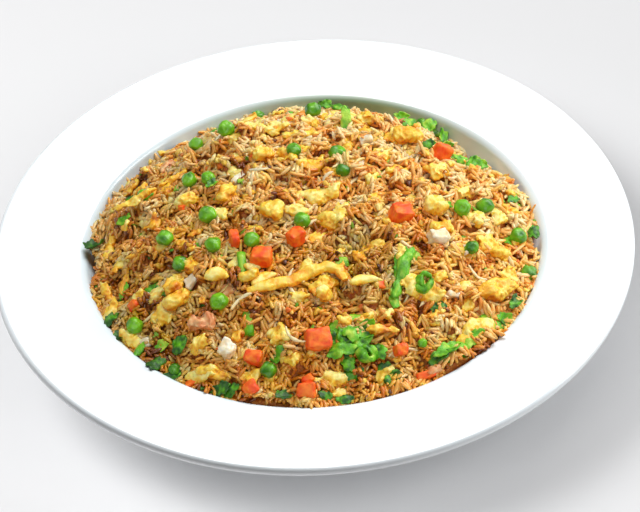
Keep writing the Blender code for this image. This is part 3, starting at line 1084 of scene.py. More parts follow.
@dataclass
class Dice:
    """Diced pieces with eased, uneven edges, shaped from the solids of their kind, with cut-off bits."""

    surface: HeapSurface
    kind: str
    title: str
    slot: str
    finish: Finish
    pale: Colour
    deep: Colour
    bits: tuple[Row, ...] = ()  # x, y, length, width, height, turn
    waviness: float = 0.0003
    trim: float = 1.0
    ripples: tuple[Row, ...] = ((0.009, 0.8, 20), (0.005, 1.0, 0), (0.0018, 0.35, 40))
    tone_and_ridge_shade_shares: Row = (0.45, 0.35, 0.15)  # everywhere, in patches, on fine ridges; the last is painted shade, deeper in the hollows
    bevel: float = 0.28
    lift: float = 0.0008
    lean: float = 12.0

    def tone(self, piece: bpy.types.Object, number: int) -> None:
        """Wrinkle and paint a piece, with painted shade in the hollows of its finest wrinkles.

        Args:
            piece: the object to change.
            number: the seed of its wrinkles and tone.
        """
        for wavelength, share, shift in self.ripples:
            fine = rippled(piece, wavelength, self.waviness * share, number + shift)
        patch = Ripple(0.0045, number + 90).at(points_of(piece))
        level, patchy, ridge_shade = self.tone_and_ridge_shade_shares
        # painted shade: paler on the finest ridges, deeper in the hollows between them
        paint(piece, between(self.deep, self.pale, level + patchy * patch + ridge_shade * fine))
        smooth(piece)

    def build(self) -> list[bpy.types.Object]:
        """Make every piece of this kind and return them."""
        pieces = []
        for number, node in enumerate(nodes_named(self.kind), start=1):
            piece = rounded_off(copy_of_node(node, f"{self.title}_{number:02d}"), 3)
            middle = Vector(points_of(piece).mean(axis=0).tolist())
            trim = Matrix.Scale(self.trim, 4)
            moved(piece, Matrix.Translation(middle) @ trim @ Matrix.Translation(-middle))
            self.tone(piece, number)
            self.finish.dress(piece, self.slot, [node])
            pieces.append(piece)
        bits = []
        for number, (x, y, length, width, height, turn) in enumerate(self.bits, start=60):
            sizes = (length * MM, width * MM, height * MM)
            bit = started(bpy.ops.mesh.primitive_cube_add, size=1, scale=sizes)
            worked(bit, "BEVEL", width=min(width, height) * self.bevel * MM, segments=2)
            with editing(bit):
                bpy.ops.mesh.subdivide(number_cuts=2)
            lean = self.lean if number % 2 else -self.lean
            moved(bit, self.surface.seat(x * MM, y * MM, self.lift, turn, lean))
            self.tone(bit, number)
            bits.append(bit)
        if bits:
            self.finish.dress(joined(f"{self.title}_bits", bits), self.slot)
        return pieces + bits[:1]


@dataclass
class Sprouts:
    """Pale, bent strands of bean sprout and onion that lie over the rice."""

    surface: HeapSurface
    pale: Colour = srgb(255, 240, 196)
    deep: Colour = srgb(232, 196, 122)
    flatness: float = 0.8
    lift: float = 0.0012
    lean: float = 5.0
    strands: tuple[Row, ...] = (
        # x, y, length, width, turn, bend
        (55, 18, 25, 2.3, 67, 0.06), (42, -28, 17, 1.9, 125, 0.25), (5, -20, 17, 1.8, 8, 0.20),
        (-9, -52, 15, 1.6, 95, 0.22), (-33, -62, 12, 1.6, 30, 0.15), (-46, -6, 13, 1.6, 110, -0.20),
        (-32, 14, 14, 1.7, 60, 0.18), (-57, 15, 12, 1.5, 20, 0.25), (-76, -46, 13, 1.6, 50, -0.2),
        (36, -84, 14, 1.7, 15, 0.15), (-10, -80, 12, 1.6, 140, 0.22), (52, -60, 15, 1.7, 20, 0.2),
        (12, 20, 13, 1.6, 80, -0.15), (22, 8, 14, 1.7, 45, 0.2), (66, 24, 13, 1.7, 120, 0.15),
        (-66, 62, 12, 1.6, 35, 0.2), (-14, 42, 13, 1.6, 70, 0.2), (74, -40, 13, 1.6, 160, 0.2),
    )

    def build(self) -> list[bpy.types.Object]:
        """Make the strands as one object and return it."""
        made = []
        for number, (x, y, length, width, turn, bend) in enumerate(self.strands, start=1):
            strand = lengthwise_ball(10, 18)
            points = points_of(strand)
            along = points[:, 0] * 2
            fuller = 1 + 0.5 * along**2 * (np.abs(along) < 0.97)
            wave = 0.03 * length * np.sin(along * 3 + number)
            points[:, 1] = points[:, 1] * fuller * width + bend * length * (1 - along**2)
            points[:, 2] = points[:, 2] * fuller * width * self.flatness + wave
            points[:, 0] *= length
            set_points(strand, points * MM)
            rippled(strand, 0.004, 0.00015, number)
            share = 0.3 + 0.5 * np.abs(along) ** 3 + 0.2 * np.sin(number)
            paint(strand, between(self.pale, self.deep, share))
            lean = self.lean if number % 2 else -self.lean
            made.append(moved(strand, self.surface.seat(x * MM, y * MM, self.lift, turn, lean)))
        strands = smooth(joined("sprout_strands", made))
        ONION_FLESH.dress(strands, "onion")
        return [strands]


class Curd(Enum):
    """How a bit of egg has set."""

    CHUNK = "chunk"
    FOLD = "fold"
    STRIP = "strip"
    PETAL = "petal"


EggRow = tuple[Curd, float, float, float, float, float, float]  # kind, x, y, length, width, height, turn


@dataclass
class Eggs:
    """Curds, folds and crumbs of scrambled egg, with painted light and shade: paler on their ridges and tops,
    orange in their creases.
    """

    surface: HeapSurface
    voxel: float = 0.0006
    tones: tuple[Colour, ...] = (
        srgb(206, 112, 8), srgb(246, 176, 26), srgb(255, 218, 74), srgb(255, 242, 150)
    )
    browning: Row = (-0.04, 0.0, 0.08, 0.20, 0.34)
    strip_dusk: float = 0.30
    ribbon_dusk: float = 0.22
    curd_dusk: float = 0.12
    smooth_folds: float = 0.35
    curd_folds: float = 0.85
    bit_folds: float = 0.8
    wide_fold: Row = (0.0085, 0.0006)  # wavelength, height
    narrow_fold: Row = (0.0048, 0.00018)
    tear: Row = (0.0034, 0.00036)
    pore: Row = (0.0017, 0.00012)
    paleness: float = 0.70
    patch_tone: float = 0.15
    # painted light and shade: paler on fold crests, darker in troughs and tears, paler where the surface
    # faces up
    painted_fold_shade: float = 0.05
    painted_tear_shade: float = 0.10
    painted_top_light: float = 0.36
    painted_light_level: float = 0.55
    blockiness: float = 0.75
    grown_on: Row = (0.45, 0.75)
    petal_bend: float = 0.16
    petal_taper: float = 0.30
    petal_rise: float = 0.10
    lean: float = 12.0
    seed: int = 4
    strewn: int = 95
    strewn_reach: float = 99.0
    strewn_gap: float = 8.5
    bits: tuple[EggRow, ...] = (
        (Curd.CHUNK, -24, 60, 10, 6, 5, 10), (Curd.FOLD, -7, 52, 9, 8, 1.6, 30),
        (Curd.CHUNK, 2, 52, 8, 6, 5, -20), (Curd.FOLD, 4, 0, 21, 9, 1.8, 10),
        (Curd.CHUNK, -38, -41, 8, 6, 5, 20), (Curd.FOLD, -95, -39, 10, 7, 1.6, 60),
        (Curd.CHUNK, 23, -67, 12, 6, 5, 10), (Curd.FOLD, 79, -20, 13, 11, 1.8, 20),
        (Curd.CHUNK, 88, -37, 10, 8, 6, 40), (Curd.FOLD, 5, -94, 15, 9, 1.8, 5),
        (Curd.CHUNK, 8, -100, 9, 6, 5, 0), (Curd.CHUNK, -36, -70, 5, 8, 5, 0),
        (Curd.FOLD, 47, -55, 21, 14, 1.8, 0), (Curd.CHUNK, -70, 38, 10, 7, 5, 30),
        (Curd.CHUNK, 30, 66, 10, 7, 5, 0), (Curd.FOLD, -45, 42, 10, 9, 1.6, 60),
        (Curd.CHUNK, 72, 12, 10, 7, 5, 10), (Curd.FOLD, 20, 45, 10, 9, 1.6, 70),
        (Curd.CHUNK, 35, 30, 9, 7, 5, 20), (Curd.FOLD, -90, -15, 12, 10, 1.8, 80),
        (Curd.CHUNK, -20, 84, 12, 8, 6, 0), (Curd.FOLD, 38, 82, 15, 12, 1.8, 40),
        (Curd.CHUNK, -50, 76, 11, 8, 6, 120), (Curd.CHUNK, 10, 80, 9, 7, 5, 20),
        (Curd.FOLD, 48, 64, 17, 12, 1.8, 10), (Curd.FOLD, 18, 70, 16, 10, 1.8, -5),
        (Curd.FOLD, 2, 24, 15, 12, 1.8, 25), (Curd.CHUNK, 60, 22, 11, 9, 5, 40),
        (Curd.FOLD, 14, -16, 13, 10, 1.8, 80), (Curd.FOLD, 26, -34, 12, 9, 1.8, 60),
        (Curd.FOLD, 84, -2, 13, 10, 1.8, -20), (Curd.CHUNK, 94, 8, 9, 7, 5, 10),
        (Curd.FOLD, -84, -58, 13, 9, 1.8, 120), (Curd.FOLD, -54, -85, 15, 8, 1.8, -15),
        (Curd.FOLD, 66, -74, 14, 10, 1.8, 25), (Curd.CHUNK, 28, -92, 10, 7, 5, 15),
        (Curd.STRIP, -82, 13, 24, 5, 1.5, 15), (Curd.STRIP, -95, 2, 20, 5, 1.4, 75),
        (Curd.STRIP, -73, -17, 22, 4.5, 1.4, 8), (Curd.STRIP, -87, -24, 16, 4, 1.4, 60),
        (Curd.STRIP, -95, -30, 22, 5, 1.5, 98), (Curd.STRIP, -57, -24, 15, 4.5, 1.4, -40),
        (Curd.STRIP, -62, 32, 17, 4.5, 1.4, 30), (Curd.STRIP, -88, 42, 15, 4, 1.4, 20),
        (Curd.STRIP, 34, 60, 18, 5, 1.5, -10), (Curd.STRIP, 14, -50, 14, 4, 1.5, 100),
        (Curd.PETAL, -28, -41, 9, 5.5, 4, 20), (Curd.PETAL, -23, -50, 13, 6, 4, 25),
        (Curd.FOLD, 3, -54, 12, 11, 1.8, 40), (Curd.PETAL, -44, -46, 12, 7, 3.5, -15),
        (Curd.PETAL, -36, -36, 9, 6, 4, 60), (Curd.PETAL, 22, -58, 15, 4.5, 3.5, 5),
    )

    def crinkle(self, piece: bpy.types.Object, number: int, browning_and_painted_shade: float, strength: float) -> None:
        """Give a smooth lump or sheet the folds, pores and colours of scrambled egg, with painted shade in
        its folds and tears and painted light on its top.

        Args:
            piece: the lump or sheet.
            number: the seed of its folds.
            browning_and_painted_shade: how much browner it is than fresh curd, 0 to 1.
            strength: how deep its folds are, 1 for curd that was stirred.
        """
        worked(piece, "REMESH", mode="VOXEL", voxel_size=self.voxel)
        wide = rippled(piece, self.wide_fold[0], self.wide_fold[1] * strength, number)
        rippled(piece, self.narrow_fold[0], self.narrow_fold[1] * strength, number + 300)
        points = points_of(piece)
        torn = np.abs(Ripple(self.tear[0], number + 500).at(points)) - 0.8
        set_points(piece, points - normals_of(piece) * (torn * self.tear[1] * strength)[:, None])
        fine = rippled(piece, self.pore[0], self.pore[1] * strength, number + 900)
        patch = Ripple(0.0075, number + 1300).at(points)
        # painted shade: paler on the crests of the folds and pores, darker in their troughs and in the tears
        level = self.paleness + self.patch_tone * patch + self.painted_fold_shade * wide
        level = level - self.painted_tear_shade * torn + self.painted_fold_shade * fine - browning_and_painted_shade
        # painted light: paler where the surface faces up, more orange on the sides
        level += self.painted_top_light * (normals_of(piece)[:, 2] - self.painted_light_level)
        steps = np.linspace(0, 1, len(self.tones))
        paint(piece, np.column_stack([np.interp(level, steps, channel) for channel in zip(*self.tones)]))
        smooth(piece)

    def chunk(self, length: float, width: float, height: float, number: int) -> bpy.types.Object:
        """Return a curd at the origin: a rounded block with a smaller one grown onto it.

        Args:
            length: its size along X.
            width: its size along Y.
            height: its size along Z.
            number: the seed of its shape.

        Returns:
            The curd.
        """
        rng = np.random.default_rng(number)
        parts = []
        for share, size in ((-0.12, 1.0), (0.30, rng.uniform(*self.grown_on))):
            part = round_ball("curd", 3)
            ball = points_of(part) * 2
            block = np.sign(ball) * np.abs(ball) ** self.blockiness / 2
            block *= (1 + 0.17 * Ripple(0.9, number + int(size * 100)).at(ball))[:, None]
            block *= (1 + 0.07 * Ripple(0.4, number).at(ball))[:, None]
            set_points(part, block * (length * size * 0.8, width * size, height * size))
            shift = (share * length, rng.uniform(-0.22, 0.22) * width, rng.uniform(-0.1, 0.1) * height)
            turn = Matrix.Rotation(rng.uniform(-0.7, 0.7), 4, "Z")
            parts.append(moved(part, Matrix.Translation(shift) @ turn))
        return joined("curd", parts)

    def petal(self, length: float, width: float, height: float, number: int) -> bpy.types.Object:
        """Return a smooth, bent and pointed slice of set egg at the origin.

        Args:
            length: its size along X.
            width: its size along Y.
            height: its size along Z.
            number: odd or even for the way that it bends.

        Returns:
            The slice.
        """
        part = round_ball("curd", 4)
        points = points_of(part)
        along = points[:, 0] * 2
        bend = self.petal_bend * (1 if number % 2 else -1)
        taper = 1 - self.petal_taper * along
        points[:, 1] = points[:, 1] * taper * width + bend * length * (1 - along**2)
        points[:, 2] = points[:, 2] * taper * height + self.petal_rise * length * along**2
        points[:, 0] *= length
        set_points(part, points)
        return part

    def strewn_bits(self) -> list[EggRow]:
        """Return rows for small bits strewn over the heap, clear of one another."""
        rng = np.random.default_rng(self.seed)
        rows: list[EggRow] = []
        taken = [(x, y) for _, x, y, *_ in self.bits]
        while len(rows) < self.strewn:
            x, y = rng.uniform(-104, 104, 2)
            length = rng.uniform(4.5, 11)
            near = min(math.hypot(x - a, y - b) for a, b in taken)
            if math.hypot(x, y) > self.strewn_reach or near < self.strewn_gap:
                continue
            taken.append((x, y))
            kind = Curd.FOLD if rng.random() < 0.4 else Curd.CHUNK
            height = 1.5 if kind is Curd.FOLD else length * 0.5
            width = length * rng.uniform(0.55, 0.9)
            rows.append((kind, x, y, length, width, height, rng.uniform(0, 180)))
        return rows

    def build(self) -> list[bpy.types.Object]:
        """Make every curd, the ribbon and the smaller bits, and return them."""
        pieces = []
        for number, node in enumerate(nodes_named("egg_"), start=1):
            curd = copy_of_node(node, f"scrambled_{node}")
            if "ribbon" in node:
                self.crinkle(curd, number, self.ribbon_dusk, self.smooth_folds)
            else:
                self.crinkle(curd, number, self.curd_dusk * (number % 3), self.curd_folds)
            EGG.dress(curd, "egg", [node])
            pieces.append(curd)
        lifts = {Curd.CHUNK: 0.0006, Curd.FOLD: 0.0020, Curd.STRIP: 0.0022, Curd.PETAL: 0.0018}
        bits = []
        for number, row in enumerate([*self.bits, *self.strewn_bits()], start=40):
            kind, x, y, length, width, height, turn = row
            rng = np.random.default_rng(number)
            sizes = (length * MM, width * MM, height * MM)
            if kind is Curd.CHUNK:
                bit = self.chunk(*sizes, number)
            elif kind is Curd.PETAL:
                bit = self.petal(*sizes, number)
            else:
                bit = torn_sheet(*sizes, rng.uniform(1.2, 2.8), number)
            lean = rng.uniform(-self.lean, self.lean)
            moved(bit, self.surface.seat(x * MM, y * MM, lifts[kind], turn, lean))
            browning_and_painted_shade = self.strip_dusk if kind is Curd.STRIP else rng.choice(self.browning)
            self.crinkle(bit, number, browning_and_painted_shade, self.smooth_folds if kind is Curd.PETAL else self.bit_folds)
            bits.append(bit)
        for name, part in (("bits", bits[: len(self.bits)]), ("crumbles", bits[len(self.bits) :])):
            whole = joined(f"scrambled_egg_{name}", part)
            EGG.dress(whole, "egg")
            pieces.append(whole)
        return pieces


class Cut(Enum):
    """How a piece of green is cut."""

    LEAF = "leaf"
    STICK = "stick"


GreenRow = tuple[Cut, float, float, float, float, float, float]  # cut, x, y, length, width, turn, brightness


@dataclass
class Greens:
    """Rings, leaves and blades from their solids, with sticks and torn leaves strewn about."""

    surface: HeapSurface
    dark: Colour = srgb(32, 88, 12)
    bright: Colour = srgb(114, 198, 20)
    lime: Colour = srgb(206, 230, 84)
    thickness: float = 0.0005
    upright_from: float = 36.0
    upright_lift: float = 0.0016
    leaf_lift: float = 0.0022
    stick_lift: float = 0.0012
    lean: float = 18.0
    ripples: tuple[Row, ...] = ((0.0090, 0.0007, 8), (0.0042, 0.0004, 0))  # wavelength, height, seed
    leaf_brightness: float = 0.35
    stalk_brightness: float = 0.7
    patchiness: float = 0.20
    veining: float = 0.15
    brightest: float = 0.9
    green_rise: float = 1.5
    lime_from: float = 0.7
    lime_rise: float = 1.6
    torn: tuple[GreenRow, ...] = (
        (Cut.LEAF, 10, 97, 7, 5, 20, 0.5), (Cut.LEAF, 17, 98, 7, 5, -10, 0.5),
        (Cut.LEAF, 20, 60, 17, 7, 90, 1.0), (Cut.LEAF, 50, 73, 9, 6, 15, 0.7),
        (Cut.LEAF, 66, 62, 10, 7, -20, 0.8), (Cut.LEAF, 72, 40, 7, 6, 10, 0.8),
        (Cut.LEAF, 79, 45, 9, 7, 40, 0.6), (Cut.LEAF, 82, 49, 8, 6, -30, 0.85),
        (Cut.LEAF, 75, 48, 8, 6, 80, 0.5), (Cut.LEAF, 70, 46, 6, 5, 0, 0.9),
        (Cut.LEAF, 56, 38, 8, 5, 30, 0.1), (Cut.LEAF, 95, 19, 8, 6, 60, 0.4),
        (Cut.LEAF, -83, 34, 10, 4.5, 10, 0.4), (Cut.LEAF, -87, 9, 8, 6, 0, 0.8),
        (Cut.LEAF, -103, 3, 10, 9, 60, 0.0), (Cut.LEAF, -74, -35, 10, 8, 20, 0.35),
        (Cut.LEAF, -70, -39, 8, 7, -40, 0.45), (Cut.STICK, -33, -41, 14, 4, 85, 0.7),
        (Cut.STICK, -31, -67, 12, 4.5, 80, 0.9), (Cut.STICK, 11, -42, 8, 6, 10, 1.0),
        (Cut.LEAF, 41, -42, 12, 9, 70, 0.85), (Cut.LEAF, 38, -48, 12, 8, 100, 0.6),
        (Cut.LEAF, 44, -36, 9, 7, 10, 1.0), (Cut.LEAF, 34, -60, 10, 5, 95, 0.6),
        (Cut.LEAF, 53, -61, 7, 6, 0, 0.1), (Cut.LEAF, 14, -92, 9, 7, 40, 0.1),
        (Cut.LEAF, 8, -74, 10, 8, 60, 0.6), (Cut.LEAF, 20, -76, 11, 9, 20, 0.5),
        (Cut.LEAF, 24, -84, 10, 8, -30, 0.4), (Cut.LEAF, 9, -85, 11, 8, 10, 0.7),
        (Cut.LEAF, 16, -70, 9, 8, 0, 0.8), (Cut.LEAF, 27, -90, 9, 7, 70, 0.2),
        (Cut.LEAF, 12, -88, 9, 7, 100, 0.35), (Cut.LEAF, 4, -80, 9, 7, 140, 0.5),
        (Cut.LEAF, 18, -82, 10, 8, 60, 0.75), (Cut.LEAF, 13, -78, 9, 7, -50, 0.9),
        (Cut.LEAF, -70, -65, 8, 5, 30, 1.0), (Cut.LEAF, 77, -64, 11, 8, 10, 0.9),
        (Cut.LEAF, 70, -68, 9, 7, 40, 0.8), (Cut.LEAF, 83, -60, 9, 7, -20, 0.6),
        (Cut.LEAF, 89, -52, 9, 6, 50, 0.1), (Cut.LEAF, 103, -8, 9, 6, 80, 0.2),
        (Cut.LEAF, 1, -101, 7, 5, 0, 0.1), (Cut.LEAF, -40, -95, 8, 6, 20, 0.0),
        (Cut.LEAF, -31, 19, 6, 5, 0, 0.9), (Cut.LEAF, -10, 94, 9, 6, 30, 0.4),
        (Cut.LEAF, 47, 84, 9, 6, -20, 0.9), (Cut.STICK, -44, 90, 12, 4, 20, 0.6),
        (Cut.STICK, 66, 80, 14, 4, 150, 0.8), (Cut.LEAF, -45, 12, 7, 5, 40, 0.5),
        (Cut.LEAF, -62, 22, 6, 5, 80, 0.7), (Cut.LEAF, -52, -22, 7, 5, 10, 0.8),
        (Cut.LEAF, -18, -84, 8, 6, 20, 0.6), (Cut.LEAF, -88, -28, 7, 5, 50, 0.5),
        (Cut.LEAF, 62, -6, 6, 4, 20, 0.8), (Cut.LEAF, 90, -14, 8, 6, 60, 0.7),
        (Cut.LEAF, -74, -75, 10, 7, 45, 0.0), (Cut.LEAF, -44, -93, 9, 7, 10, 0.0),
        (Cut.LEAF, -18, -101, 7, 5, 20, 0.0), (Cut.LEAF, 9, -103, 7, 5, 0, 0.1),
        (Cut.LEAF, -94, -45, 8, 6, 60, 0.0), (Cut.LEAF, -89, -55, 9, 7, 50, 0.1),
        (Cut.LEAF, -66, -81, 9, 6, 35, 0.1), (Cut.LEAF, -80, -64, 8, 5, 40, 0.4),
        (Cut.LEAF, 60, 81, 9, 7, 30, 0.9), (Cut.LEAF, 66, 76, 8, 6, 60, 0.8),
        (Cut.LEAF, 62, -79, 13, 8, 50, 0.9), (Cut.LEAF, 57, -83, 12, 8, 40, 0.7),
        (Cut.LEAF, 68, -75, 12, 7, 50, 0.95), (Cut.LEAF, 53, -85, 9, 7, 30, 0.3),
    )

    def stick(self, length: float, width: float, number: int) -> bpy.types.Object:
        """Return a cut length of scallion: an open, flattened and slightly bent tube.

        Args:
            length: its length along X.
            width: its width.
            number: the seed of its bend.

        Returns:
            The tube.
        """
        stick = started(
            bpy.ops.mesh.primitive_cylinder_add, vertices=14, radius=width / 2, depth=length,
            end_fill_type="NOTHING", rotation=(0, math.pi / 2, 0),
        )
        with editing(stick):
            bpy.ops.mesh.subdivide(number_cuts=5, quadcorner="INNERVERT")
        points = points_of(stick)
        share = points[:, 0] / length * 2
        points[:, 2] = points[:, 2] * 0.7 - 0.05 * length * share**2
        points[:, 1] += 0.0006 * np.sin(share * 2 + number)
        set_points(stick, points)
        worked(stick, "SOLIDIFY", thickness=self.thickness, offset=-1)
        return smooth(stick)

    def make(self, cut: Cut, length: float, width: float, number: int) -> bpy.types.Object:
        """Return a piece of green at the origin, cut one way.

        Args:
            cut: how it is cut.
            length: its length along X.
            width: its width.
            number: the seed of its shape.

        Returns:
            The piece.
        """
        if cut is Cut.STICK:
            return self.stick(length, width, number)
        rng = np.random.default_rng(number)
        curl = rng.uniform(0.8, 2.4) * (1 if rng.random() < 0.65 else -1)
        return torn_sheet(length, width, self.thickness, curl, number)

    def colour(self, piece: bpy.types.Object, brightness: float, number: int) -> None:
        """Paint a green piece by its brightness, 0 for dark leaf to 1 for pale stalk.

        Args:
            piece: the object to change.
            brightness: 0 to 1.
            number: the seed of its patches.
        """
        points = points_of(piece)
        patches, veins = Ripple(0.006, number + 70), Ripple(0.0022, number + 170)
        field = self.patchiness * patches.at(points) + self.veining * veins.at(points)
        share = self.brightest * brightness + field
        low = between(self.dark, self.bright, share * self.green_rise)
        ripe = np.clip(share - self.lime_from, 0, 1) * self.lime_rise
        paint(piece, between(np.zeros(3), self.lime - low, ripe) + low)

    def build(self) -> list[bpy.types.Object]:
        """Make every green piece and return them."""
        pieces = []
        for number, node in enumerate(nodes_named("scallion_"), start=1):
            piece = rounded_off(copy_of_node(node, f"green_{node}"), 2)
            for wavelength, height, shift in self.ripples:
                rippled(piece, wavelength, height, number + shift)
            self.colour(piece, self.leaf_brightness if "leaf" in node else self.stalk_brightness, number)
            GREENS.dress(smooth(piece), "scallion", [node])
            pieces.append(piece)
        bits = []
        for number, (cut, x, y, length, width, turn, brightness) in enumerate(self.torn, start=1):
            bit = self.make(cut, length * MM, width * MM, number)
            rng = np.random.default_rng(number)
            lift = self.leaf_lift if cut is Cut.LEAF else self.stick_lift
            seat = self.surface.seat(x * MM, y * MM, lift, turn, rng.uniform(-self.lean, self.lean))
            if cut is Cut.LEAF and y > self.upright_from:
                upright = Matrix.Rotation(math.radians(rng.uniform(35, 70)), 4, "X")
                stand = Matrix.Translation(seat.translation + Vector((0, 0, self.upright_lift)))
                seat = stand @ upright @ seat.to_3x3().to_4x4()
            moved(bit, seat)
            self.colour(bit, brightness, number)
            bits.append(bit)
        bits = joined("chopped_greens", bits)
        GREENS.dress(bits, "scallion")
        return pieces + [bits]


# ---------------------------------------------------------------- rice


class Form(Enum):
    """What a small morsel is modelled from."""

    GRAIN = "grain"
    STUB = "stub"
    BEAD = "bead"
    STRAND = "strand"
    CRUMB = "crumb"


@dataclass(frozen=True)
class Morsel:
    """One kind of small thing in the heap: its share, its sizes in millimetres and its finish."""

    name: str
    form: Form
    share: float
    length: float
    width: float
    bend: float
    finish: Finish
    slot: str
    tones: tuple[Colour, ...]
    flatness: float = 0.88


RICE_TONES = (
    srgb(255, 235, 186), srgb(255, 217, 148), srgb(252, 192, 98), srgb(222, 140, 38), srgb(128, 66, 8)
)
EGG_TONES = (srgb(255, 246, 190), srgb(255, 226, 110), srgb(248, 196, 70), srgb(230, 152, 44))
ONION_TONES = (srgb(255, 248, 224), srgb(248, 230, 180), srgb(232, 196, 132))
BROWNED_TONES = (srgb(160, 92, 44), srgb(104, 58, 30), srgb(60, 40, 26))
CARROT_TONES = (srgb(255, 150, 60), srgb(244, 104, 24))
HERB_TONES = (srgb(190, 224, 80), srgb(120, 186, 34), srgb(58, 122, 18))

MORSELS = (
    Morsel("rice_long", Form.GRAIN, 0.26, 9.4, 2.2, 0.16, RICE, "rice", RICE_TONES),
    Morsel("rice_slender", Form.GRAIN, 0.22, 8.6, 2.05, 0.18, RICE, "rice", RICE_TONES),
    Morsel("rice_plump", Form.GRAIN, 0.13, 6.8, 2.4, 0.06, RICE, "rice", RICE_TONES),
    Morsel("rice_curved", Form.GRAIN, 0.18, 8.8, 2.15, 0.34, RICE, "rice", RICE_TONES),
    Morsel("rice_broken", Form.STUB, 0.10, 4.2, 2.2, 0.0, RICE, "rice", RICE_TONES),
    Morsel("rice_crumbs", Form.BEAD, 0.02, 2.8, 2.0, 0.0, RICE, "rice", RICE_TONES),
    Morsel("egg_crumbs", Form.CRUMB, 0.058, 4.6, 3.6, 0.0, EGG, "egg", EGG_TONES, 0.6),
    Morsel("onion_slivers", Form.CRUMB, 0.010, 5.6, 2.8, 0.0, ONION_FLESH, "onion", ONION_TONES, 0.4),
    Morsel("bean_sprouts", Form.STRAND, 0.005, 11.0, 1.7, 0.45, ONION_FLESH, "onion", ONION_TONES),
    Morsel("browned_bits", Form.CRUMB, 0.008, 3.6, 2.4, 0.0, HAM_FLESH, "ham", BROWNED_TONES, 0.6),
    Morsel("carrot_crumbs", Form.CRUMB, 0.004, 4.2, 2.8, 0.0, CARROT_FLESH, "carrot", CARROT_TONES, 0.8),
    Morsel("herb_flecks", Form.CRUMB, 0.012, 3.8, 2.4, 0.0, GREENS, "scallion", HERB_TONES, 0.3),
)


